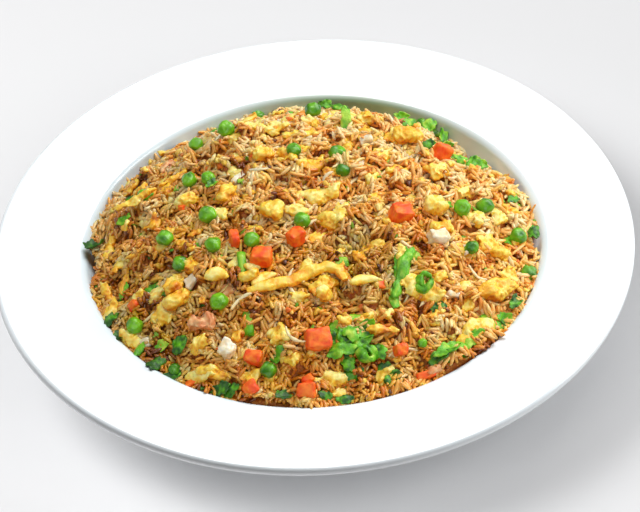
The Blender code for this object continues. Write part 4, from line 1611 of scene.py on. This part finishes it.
@dataclass
class Rice:
    """The rice: a lumpy core with grains and crumbs laid over it one at a time.

    Most grains rest on those below, some are pressed in among the others, and crumbs plug the pits.
    """

    plate: Plate
    surface: HeapSurface
    seed: int = 11
    trials: int = 46000
    presses: int = 20000
    plugs: int = 9000
    refresh: int = 200
    core_depth: float = 0.0038
    core_reach: float = 0.0012
    core_lift: float = 0.0005
    wall_gap: float = 0.0003
    overhang: float = 0.0014
    headroom: float = 0.0015
    fine_middle: float = 0.45
    fine_spread: float = 0.28
    fine_tilt: float = 3.2
    length_spread: Row = (0.74, 1.16)
    width_spread: Row = (0.88, 1.12)
    fine_shortening: float = 0.46
    fine_thinning: float = 0.18
    lie_spread: float = 0.45
    slack: Row = (0.0004, 0.0005)
    girth: float = 0.43
    stations: Row = (-0.42, -0.21, 0.0, 0.21, 0.42)
    sides: Row = (-0.28, 0.0, 0.28)
    press_stations: Row = (-0.36, -0.18, 0.0, 0.18, 0.36)
    tip_share: float = 0.45
    steepest: float = 1.3
    steepest_pressed: float = 1.2
    sink: float = 0.60
    press_sink: float = 0.5
    top_share: float = 0.6
    over_rest: float = 0.0004
    over_press: float = 0.0005
    tousle: float = 0.32
    aligned: float = 0.5
    least_lack: float = 0.0003
    least_pit: float = 0.0007
    most_lack: float = 0.004
    lack_power: float = 1.5
    nothing: float = 1e-7
    roll_spread: float = 0.5
    # tones: how far up its row of tones a morsel stands, 0 to 1
    base_tone: float = 0.36
    chance_tone: float = 0.04
    clump_tone: float = 0.13
    patch_tone: float = 0.17
    patches: Ripple = Ripple(0.020, 31)
    painted_depth_shade: Row = (160.0, -0.12, 0.60)  # painted shade on sunken morsels: for a metre of depth, least, most
    # painted light: morsels paler towards the right and the back
    painted_light_tilt: float = 1.1
    browning_and_painted_shade: Row = (0.45, 5.5, 2.5)  # painted shade, darker to the left and front: at the middle, less for a metre of x, less for a metre of y
    sauce: Row = (0.36, 0.28, 0.15, 2.6)  # at the middle, in patches, by chance, less for a metre of y
    sauce_patches: Ripple = Ripple(0.012, 33)
    olive: float = 9.0
    # how much of each channel the painted shade takes away
    shade_tint: Colour = (0.20, 0.17, 0.20)
    sauce_tint: Colour = (0.0, 0.15, 0.66)
    olive_tint: Colour = (0.02, 0.07, 0.12)
    painted_shade_spots: tuple[Row, ...] = (
        # painted shade spots: x, y, radius, depth
        (24, -42, 20, 1.5), (-4, -42, 24, 0.5), (-57, 38, 24, 0.5), (-57, -2, 22, 0.3), (-84, -58, 20, 0.8)
    )

    def core(self) -> bpy.types.Object:
        """Return the core: a lumpy body inside the grains, down to the plate."""
        add = bpy.ops.mesh.primitive_uv_sphere_add
        core = started(add, "rice_core", segments=168, ring_count=128, radius=1)
        points = points_of(core)
        turn = np.arctan2(points[:, 1], points[:, 0])
        share = np.hypot(points[:, 0], points[:, 1])
        reach = self.surface.reach(points[:, 0], points[:, 1])
        level = self.surface.height(reach * np.cos(turn), reach * np.sin(turn)) - self.core_depth
        edge = np.minimum(reach + self.core_reach, self.plate.wall_radius(level) - self.wall_gap)
        x, y = share * edge * np.cos(turn), share * edge * np.sin(turn)
        under = self.plate.height_at(share * edge) + self.core_lift
        top = self.surface.height(x, y) - self.core_depth + self.surface.relief(x, y)
        z = np.where(points[:, 2] > 0, np.maximum(top, under), under)
        set_points(core, np.column_stack([x, y, z]))
        CORE.dress(smooth(core), "rice", ["rice_heap"])
        return core

    def prepare(self, core: bpy.types.Object) -> None:
        """Lay out what the grains rest on, how high they may pile and how fine they are.

        Args:
            core: the core that they lie on.
        """
        self.grid = grid = HeightField()
        radius = np.hypot(grid.across, grid.away)
        inside = self.surface.reach(grid.across, grid.away) - radius
        relief = self.surface.relief(grid.across, grid.away)
        level = self.surface.height(grid.across, grid.away)
        self.ceiling = max(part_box(node)[1].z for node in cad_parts)
        highest = np.minimum(level + relief, self.ceiling - self.headroom)
        self.target = np.where(inside > -self.overhang, highest, 0.0)
        self.ground = self.plate.height_at(radius) - np.where(inside > 0, 0, 0.002)
        cells = np.column_stack([grid.across.ravel(), grid.away.ravel()])
        zone = (self.fine_middle + self.fine_spread * Ripple(0.035, 41).at(cells)).reshape(radius.shape)
        self.fineness = np.clip(zone - self.fine_tilt * (grid.across + grid.away), 0, 1)
        tops, part = grid.tops(core)
        covered = ~np.isnan(tops)
        self.ground[part][covered] = np.maximum(self.ground[part][covered], tops[covered])

    def settled(self, x: float, y: float, turn: float, length: float, width: float) -> Row:
        """Return the height of the surface that a morsel rests on, and the slope that it takes there.

        Args:
            x: the morsel's place.
            y: the morsel's place.
            turn: its direction, in radians.
            length: its length.
            width: its width.

        Returns:
            The height under its middle, and the slope along it.
        """
        ux, uy = math.cos(turn), math.sin(turn)
        stations = self.stations
        sides = np.array(self.sides) * width
        along = np.array(stations) * length
        cells_x = self.grid.index(x + ux * along[:, None] - uy * sides)
        cells_y = self.grid.index(y + uy * along[:, None] + ux * sides)
        heights = self.ground[cells_y, cells_x].max(axis=1)
        best, slope = -1.0, 0.0
        for near, far in ((0, 3), (0, 4), (1, 3), (1, 4)):
            span = stations[far] - stations[near]
            level = (heights[near] * stations[far] - heights[far] * stations[near]) / span
            if level > best:
                best, slope = level, (heights[far] - heights[near]) / (span * length)
        if heights[2] > best:
            rise = max((heights[k] - heights[2]) / along[k] for k in (3, 4))
            fall = min((heights[2] - heights[k]) / -along[k] for k in (0, 1))
            best, slope = heights[2], rise if abs(rise) < abs(fall) else fall
        return best, slope

    def pressed(self, x: float, y: float, turn: float, length: float) -> Row:
        """Return the mean height and slope of what lies under a morsel pressed in among others.

        Args:
            x: the morsel's place.
            y: the morsel's place.
            turn: its direction, in radians.
            length: its length.

        Returns:
            The height under its middle, and the slope along it.
        """
        along = np.array(self.press_stations) * length
        rows = self.grid.index(y + math.sin(turn) * along)
        heights = self.ground[rows, self.grid.index(x + math.cos(turn) * along)]
        return float(heights.mean()), float((heights * along).sum() / (along**2).sum())

    def cover(self, place: Row, turn: float, slope: float, length: float, width: float) -> None:
        """Raise the ground by a morsel that has come to rest.

        Args:
            place: its middle's x, y and z.
            turn: its direction, in radians.
            slope: its rise along its length.
            length: its length.
            width: its width.
        """
        x, y, z = place
        ux, uy = math.cos(turn), math.sin(turn)
        box_x = (abs(ux) * length + abs(uy) * width) / 2
        box_y = (abs(uy) * length + abs(ux) * width) / 2
        columns = slice(int(self.grid.index(x - box_x)), int(self.grid.index(x + box_x)) + 1)
        lines = slice(int(self.grid.index(y - box_y)), int(self.grid.index(y + box_y)) + 1)
        dx = self.grid.line[columns][None, :] - x
        dy = self.grid.line[lines][:, None] - y
        u, v = dx * ux + dy * uy, dy * ux - dx * uy
        body = 1 - (2 * u / length) ** 4 - (2 * v / width) ** 2
        bulge = width * self.girth * np.sqrt(np.maximum(body, 0))
        top = np.where(body > 0, z + slope * u + bulge, -1)
        np.maximum(self.ground[lines, columns], top, out=self.ground[lines, columns])

    def lay(self) -> dict[Morsel, list[Row]]:
        """Lay the morsels one at a time where the heap lacks height, then plug the pits that are left.

        Returns:
            For each kind, rows of x, y, z, turn, slope, length, width and depth under the surface.
        """
        rng = np.random.default_rng(self.seed)
        shares = np.cumsum([morsel.share for morsel in MORSELS])
        filler = next(morsel for morsel in MORSELS if morsel.form is Form.BEAD)
        owners = self.surface.clumps.read(self.grid.across, self.grid.away)[0]
        rows: dict[Morsel, list[Row]] = {morsel: [] for morsel in MORSELS}
        for trial in range(self.trials + self.presses + self.plugs):
            pressing = self.trials <= trial < self.trials + self.presses
            plugging = trial >= self.trials + self.presses
            if trial % self.refresh == 0:
                lack = self.target - self.ground - (self.least_pit if plugging else self.least_lack)
                total = np.cumsum((np.clip(lack, 0, self.most_lack) ** self.lack_power).ravel())
                if total[-1] < self.nothing:
                    continue
                picks = np.searchsorted(total, rng.random(self.refresh) * total[-1])
            pick = int(picks[trial % self.refresh])
            row, column = divmod(pick, self.grid.count)
            x, y = self.grid.line[column], self.grid.line[row]
            room = self.target[row, column]
            morsel = MORSELS[int(np.searchsorted(shares, rng.random() * shares[-1]))]
            if plugging:
                morsel = filler
            fineness = self.fineness[row, column]
            shorter, thinner = 1 - self.fine_shortening * fineness, 1 - self.fine_thinning * fineness
            length = morsel.length * MM * rng.uniform(*self.length_spread) * shorter
            width = morsel.width * MM * rng.uniform(*self.width_spread) * thinner
            turn = rng.uniform(0, 2 * math.pi)
            if rng.random() < self.aligned:
                turn = self.surface.clumps.lie[owners[row, column]] + rng.normal(0, self.lie_spread)
            slack = rng.normal(*self.slack)
            tilt = rng.normal(0, self.tousle)
            half = width * self.girth
            if plugging:
                slope = rng.uniform(-1.0, 1.0)
                z = self.ground[row, column] + half * self.press_sink
                if room - self.ground[row, column] < self.least_pit:
                    continue
            elif pressing:
                level, slope = self.pressed(x, y, turn, length)
                slope = max(-self.steepest_pressed, min(self.steepest_pressed, slope + tilt))
                z = level + half * self.press_sink
                if z + half * self.top_share > room + self.over_press + slack:
                    continue
            else:
                best, slope = self.settled(x, y, turn, length, width)
                z = best + half * (1 - self.sink)
                if abs(slope) > self.steepest or z + half * self.top_share > room + self.over_rest + slack:
                    continue
                slope += tilt
            if z + abs(slope) * length * self.tip_share + half > self.ceiling:
                continue
            self.cover((x, y, z), turn, slope, length, width)
            rows[morsel].append((x, y, z, turn, slope, length, width, room - z))
        return rows

    def model(self, morsel: Morsel) -> bpy.types.Object:
        """Return one morsel of unit length and width along X, modelled from a small sphere.

        Args:
            morsel: the kind of morsel.

        Returns:
            The model.
        """
        if morsel.form is Form.CRUMB:
            crumb = round_ball("crumb", 2)
            rippled(crumb, 0.55, 0.10, 3)
            points = points_of(crumb)
            points[:, 2] *= morsel.flatness
            set_points(crumb, points)
            return crumb
        if morsel.form is Form.BEAD:
            return round_ball("bead", 1, 0.54)
        grain = lengthwise_ball(5, {Form.GRAIN: 5, Form.STUB: 4, Form.STRAND: 12}[morsel.form])
        points = points_of(grain)
        share = points[:, 0] * 2
        fuller = 1 + 0.22 * share**2 * (np.abs(share) < 0.99)
        points[:, 1] *= fuller * (1 + 0.10 * share)
        points[:, 2] *= fuller * (1 + 0.10 * share) * morsel.flatness
        set_points(grain, points)
        return grain

    def tones_of(self, morsel: Morsel, rows: np.ndarray, rng: np.random.Generator) -> np.ndarray:
        """Return each morsel's colour, by chance and by its lump of the heap, with painted light and shade by
        its place and its depth.

        Args:
            morsel: the kind of morsel.
            rows: what lay() gives for this kind.
            rng: the source of what is left to chance.

        Returns:
            One colour a row.
        """
        spots, x, y, sunk = rows[:, :2], rows[:, 0], rows[:, 1], rows[:, 7]
        clumps = self.surface.clumps
        chance = self.chance_tone * rng.normal(size=len(rows))
        level = self.base_tone + chance + self.clump_tone * clumps.tone[clumps.read(x, y)[0]]
        # painted shade: the deeper a morsel lies under the surface, the darker its tone
        depth_shading, least, most = self.painted_depth_shade
        level += self.patch_tone * self.patches.at(spots) + np.clip(sunk * depth_shading, least, most)
        # painted light: paler towards the right and the back
        level -= self.painted_light_tilt * (x + y)
        level = np.clip(level, 0, 0.999) * (len(morsel.tones) - 1)
        index = level.astype(int)
        tones = np.array(morsel.tones)
        share = (level - index)[:, None]
        # painted shade: darker to the left and front, and darker still in the listed spots
        middle, aside, away = self.browning_and_painted_shade
        browning_and_painted_shade = np.clip(middle - aside * x - away * y, 0, 1)
        for dark_x, dark_y, radius, depth in self.painted_shade_spots:
            distance = (x - dark_x * MM) ** 2 + (y - dark_y * MM) ** 2
            browning_and_painted_shade += depth * np.exp(-distance / (radius * MM) ** 2)
        middle, patch, chance, away = self.sauce
        sauce = middle + patch * self.sauce_patches.at(spots) + chance * rng.normal(size=len(rows)) - away * y
        # painted shade and sauce stain together
        shade = browning_and_painted_shade[:, None] * self.shade_tint + np.clip(sauce, 0, 1)[:, None] * self.sauce_tint
        olive = np.clip(-self.olive * x, 0, 1)[:, None] * self.olive_tint
        return (tones[index] * (1 - share) + tones[index + 1] * share) * (1 - shade) * (1 + olive)

    def heap_up(self, morsel: Morsel, rows: np.ndarray) -> bpy.types.Object:
        """Return one kind of morsel copied to all its places, as one mesh.

        Args:
            morsel: the kind of morsel.
            rows: what lay() gives for this kind.

        Returns:
            The finished piece.
        """
        model = self.model(morsel)
        points, faces = points_of(model), faces_of(model)
        discard(model)
        rng = np.random.default_rng(self.seed + len(rows))
        count = len(rows)
        turn, slope, length, width = rows[:, 3], rows[:, 4], rows[:, 5], rows[:, 6]
        ahead = np.column_stack([np.cos(turn), np.sin(turn), slope])
        ahead /= np.linalg.norm(ahead, axis=1)[:, None]
        up = np.array([0.0, 0.0, 1.0]) - ahead * ahead[:, 2:]
        up /= np.linalg.norm(up, axis=1)[:, None]
        side = np.cross(up, ahead)
        roll = rng.normal(0, self.roll_spread, count)[:, None]
        up, side = up * np.cos(roll) + side * np.sin(roll), side * np.cos(roll) - up * np.sin(roll)
        bend = morsel.bend * rng.uniform(-1, 1, count)
        x = points[None, :, 0] * length[:, None]
        y = points[None, :, 1] * width[:, None]
        y = y + (bend * length)[:, None] * (1 - 4 * points[None, :, 0] ** 2) * 0.5
        z = points[None, :, 2] * width[:, None]
        spots = rows[:, None, :3] + x[..., None] * ahead[:, None] + y[..., None] * side[:, None]
        spots = spots + z[..., None] * up[:, None]
        offsets = np.arange(count) * len(points)
        all_faces = [tuple(k + offset for k in face) for offset in offsets.tolist() for face in faces]
        piece = new_piece(morsel.name, spots.reshape(-1, 3), all_faces)
        paint(piece, np.repeat(self.tones_of(morsel, rows, rng), len(points), axis=0))
        morsel.finish.dress(smooth(piece), morsel.slot)
        triangles = sum(len(face) - 2 for face in faces) * count
        log.info("%s: %d morsels, %d triangles", morsel.name, count, triangles)
        return piece

    def build(self) -> list[bpy.types.Object]:
        """Make the core and all the morsels, and return them."""
        core = self.core()
        self.prepare(core)
        return [core] + [self.heap_up(morsel, np.array(found)) for morsel, found in self.lay().items()]


# ---------------------------------------------------------------- studio


COOL: Colour = (0.95, 0.99, 1.0)


class Lit(Enum):
    """What a soft light shines on."""

    FOOD = "food"
    PLATE = "plate"
    FLOOR = "floor"


@dataclass(frozen=True)
class SoftBox:
    """A square soft light, placed by its azimuth and elevation in degrees, that looks at the plate."""

    lit: Lit
    azimuth: float
    elevation: float
    power: float
    size: float = 1.0
    distance: float = 1.6
    tint: Colour = (1.0, 1.0, 1.0)

    def build(self, receivers: dict[Lit, bpy.types.Collection]) -> None:
        """Add the light, and link it to what it shines on.

        Args:
            receivers: for each kind of light, the collection of what it shines on.
        """
        name = f"soft_{self.lit.value}_{self.azimuth:.0f}_{self.elevation:.0f}"
        light = bpy.data.lights.new(name, "AREA")
        light.size = self.size
        light.energy = self.power
        light.color = self.tint
        aim = Vector((0, 0, 0.03))
        aside = Matrix.Rotation(math.radians(self.azimuth), 3, "Z")
        above = Matrix.Rotation(-math.radians(self.elevation), 3, "Y")
        holder = bpy.data.objects.new(name, light)
        holder.location = aim + (aside @ above) @ Vector((self.distance, 0, 0))
        holder.rotation_euler = (aim - holder.location).to_track_quat("-Z", "Y").to_euler()
        bpy.context.scene.collection.objects.link(holder)
        holder.light_linking.receiver_collection = receivers[self.lit]


@dataclass
class Studio:
    """The pale floor, the soft lights and the camera."""

    floor_size: float = 12.0
    sky: float = 0.08
    eye: Row = (0.0, -0.80096, 0.76238)
    aim: Row = (0.0026, -0.0116, 0.0379)
    roll: float = math.radians(-3.47)
    lens: float = 129.05
    sensor: float = 36.0
    lights: tuple[SoftBox, ...] = (
        SoftBox(Lit.FOOD, 30, 48, 22.0, size=1.5),
        SoftBox(Lit.FOOD, 80, 72, 12.0, size=2.0),
        SoftBox(Lit.FOOD, 5, 26, 8.0),
        SoftBox(Lit.FOOD, 172, 28, 3.0),
        SoftBox(Lit.FOOD, 268, 40, 7.0),
        SoftBox(Lit.PLATE, 76, 60, 34.0, tint=COOL),
        SoftBox(Lit.PLATE, 150, 20, 3.0, tint=COOL),
        SoftBox(Lit.PLATE, 5, 20, 18.0, tint=COOL),
        SoftBox(Lit.FLOOR, 175, 50, 20.5),
        SoftBox(Lit.FLOOR, 318, 42, 8.5),
        SoftBox(Lit.FLOOR, 250, 60, 6.5),
        SoftBox(Lit.FLOOR, 60, 32, 7.5),
    )

    def light_up(self, floor: bpy.types.Object, plate: bpy.types.Object) -> None:
        """Add the lights: some for the floor alone, some for the plate alone, and some for the food.

        Args:
            floor: the studio floor.
            plate: the finished plate.
        """
        receivers = {lit: bpy.data.collections.new(f"lit_{lit.value}") for lit in Lit}
        receivers[Lit.FLOOR].objects.link(floor)
        receivers[Lit.PLATE].objects.link(plate)
        for other in (floor, plate):
            receivers[Lit.FOOD].objects.link(other)
        for member in receivers[Lit.FOOD].collection_objects:
            member.light_linking.link_state = "EXCLUDE"
        for light in self.lights:
            light.build(receivers)

    def build(self, plate: bpy.types.Object) -> None:
        """Set up the studio round the finished plate.

        Args:
            plate: the finished plate.
        """
        scene = bpy.context.scene
        scene.view_settings.view_transform = "Standard"
        floor = started(bpy.ops.mesh.primitive_plane_add, "studio_floor", size=self.floor_size)
        floor.data.materials.append(FLOOR_PAINT.material())
        world = bpy.data.worlds.new("studio_sky")
        world.use_nodes = True
        sky = {"Color": (1.0, 1.0, 1.0, 1.0), "Strength": self.sky}
        preset(world.node_tree.nodes["Background"], sky)
        scene.world = world
        self.light_up(floor, plate)
        camera = bpy.data.objects.new("camera", bpy.data.cameras.new("camera"))
        camera.data.lens = self.lens
        camera.data.sensor_width = self.sensor
        look = (Vector(self.aim) - Vector(self.eye)).to_track_quat("-Z", "Y").to_matrix().to_4x4()
        camera.matrix_world = Matrix.Translation(self.eye) @ look @ Matrix.Rotation(self.roll, 4, "Z")
        scene.collection.objects.link(camera)
        scene.camera = camera


def main() -> None:
    """Build every sub-assembly in order and report its pieces."""
    logging.basicConfig(level=logging.INFO, format="%(message)s")
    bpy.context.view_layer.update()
    plate = Plate()
    porcelain = plate.build()
    report(["plate", porcelain])
    Studio().build(porcelain)
    surface = HeapSurface()
    carrots = Dice(
        surface, "carrot_", "diced_carrot", "carrot", CARROT_FLESH, srgb(255, 136, 24), srgb(244, 82, 4),
        bits=(
            (-83, -43, 5.5, 4, 4, 20), (28, -54, 6, 5, 4, 0), (-6, -94, 5, 4, 4, 30),
            (-56, -86, 9, 4, 3.5, 15), (46, -91, 9, 4, 3.5, 20), (-20, -50, 4, 3.5, 3, 40),
            (52, 52, 5, 4, 3.5, 10), (-60, 4, 4, 3, 3, 60),
        ),
        waviness=0.0002, trim=0.88,
    )
    onions = Dice(
        surface, "onion_", "onion_piece", "onion", ONION_FLESH, srgb(255, 248, 230), srgb(244, 226, 184),
        bits=(
            (28, 40, 6, 4, 3, 10), (24, 25, 6, 5, 3, 60), (-56, -42, 6, 5, 3, 20),
            (-77, -38, 6, 5, 3, 70), (-78, -62, 6, 5, 3, 0), (61, -53, 7, 3, 3, 15),
            (-33, 23, 8, 3, 2.5, 40), (70, -30, 6, 4, 3, 20),
        ),
    )
    ham = Dice(
        surface, "ham_", "meat_piece", "ham", HAM_FLESH, srgb(255, 214, 158), srgb(238, 158, 98),
        bits=(
            (-42, -50, 12, 6, 2.6, 20), (50, -89, 7, 5, 4, 10), (-14, 6, 6, 4, 4, 50), (-68, 50, 7, 4, 3, 30),
        ),
        waviness=0.0006, trim=0.86,
    )
    for maker in (Peas(surface), carrots, onions, ham, Sprouts(surface), Eggs(surface), Greens(surface)):
        made = maker.build()
        report([type(maker).__name__, *made])
    report(["rice", *Rice(plate, surface).build()])


def report(made: list) -> None:
    """Log the pieces of one sub-assembly, given as its title and then its objects."""
    title, *pieces = made
    faces = sum(len(piece.data.loop_triangles) or len(piece.data.polygons) for piece in pieces)
    log.info("%s: %d pieces, %d faces", title, len(pieces), faces)


if __name__ == "__main__":
    main()
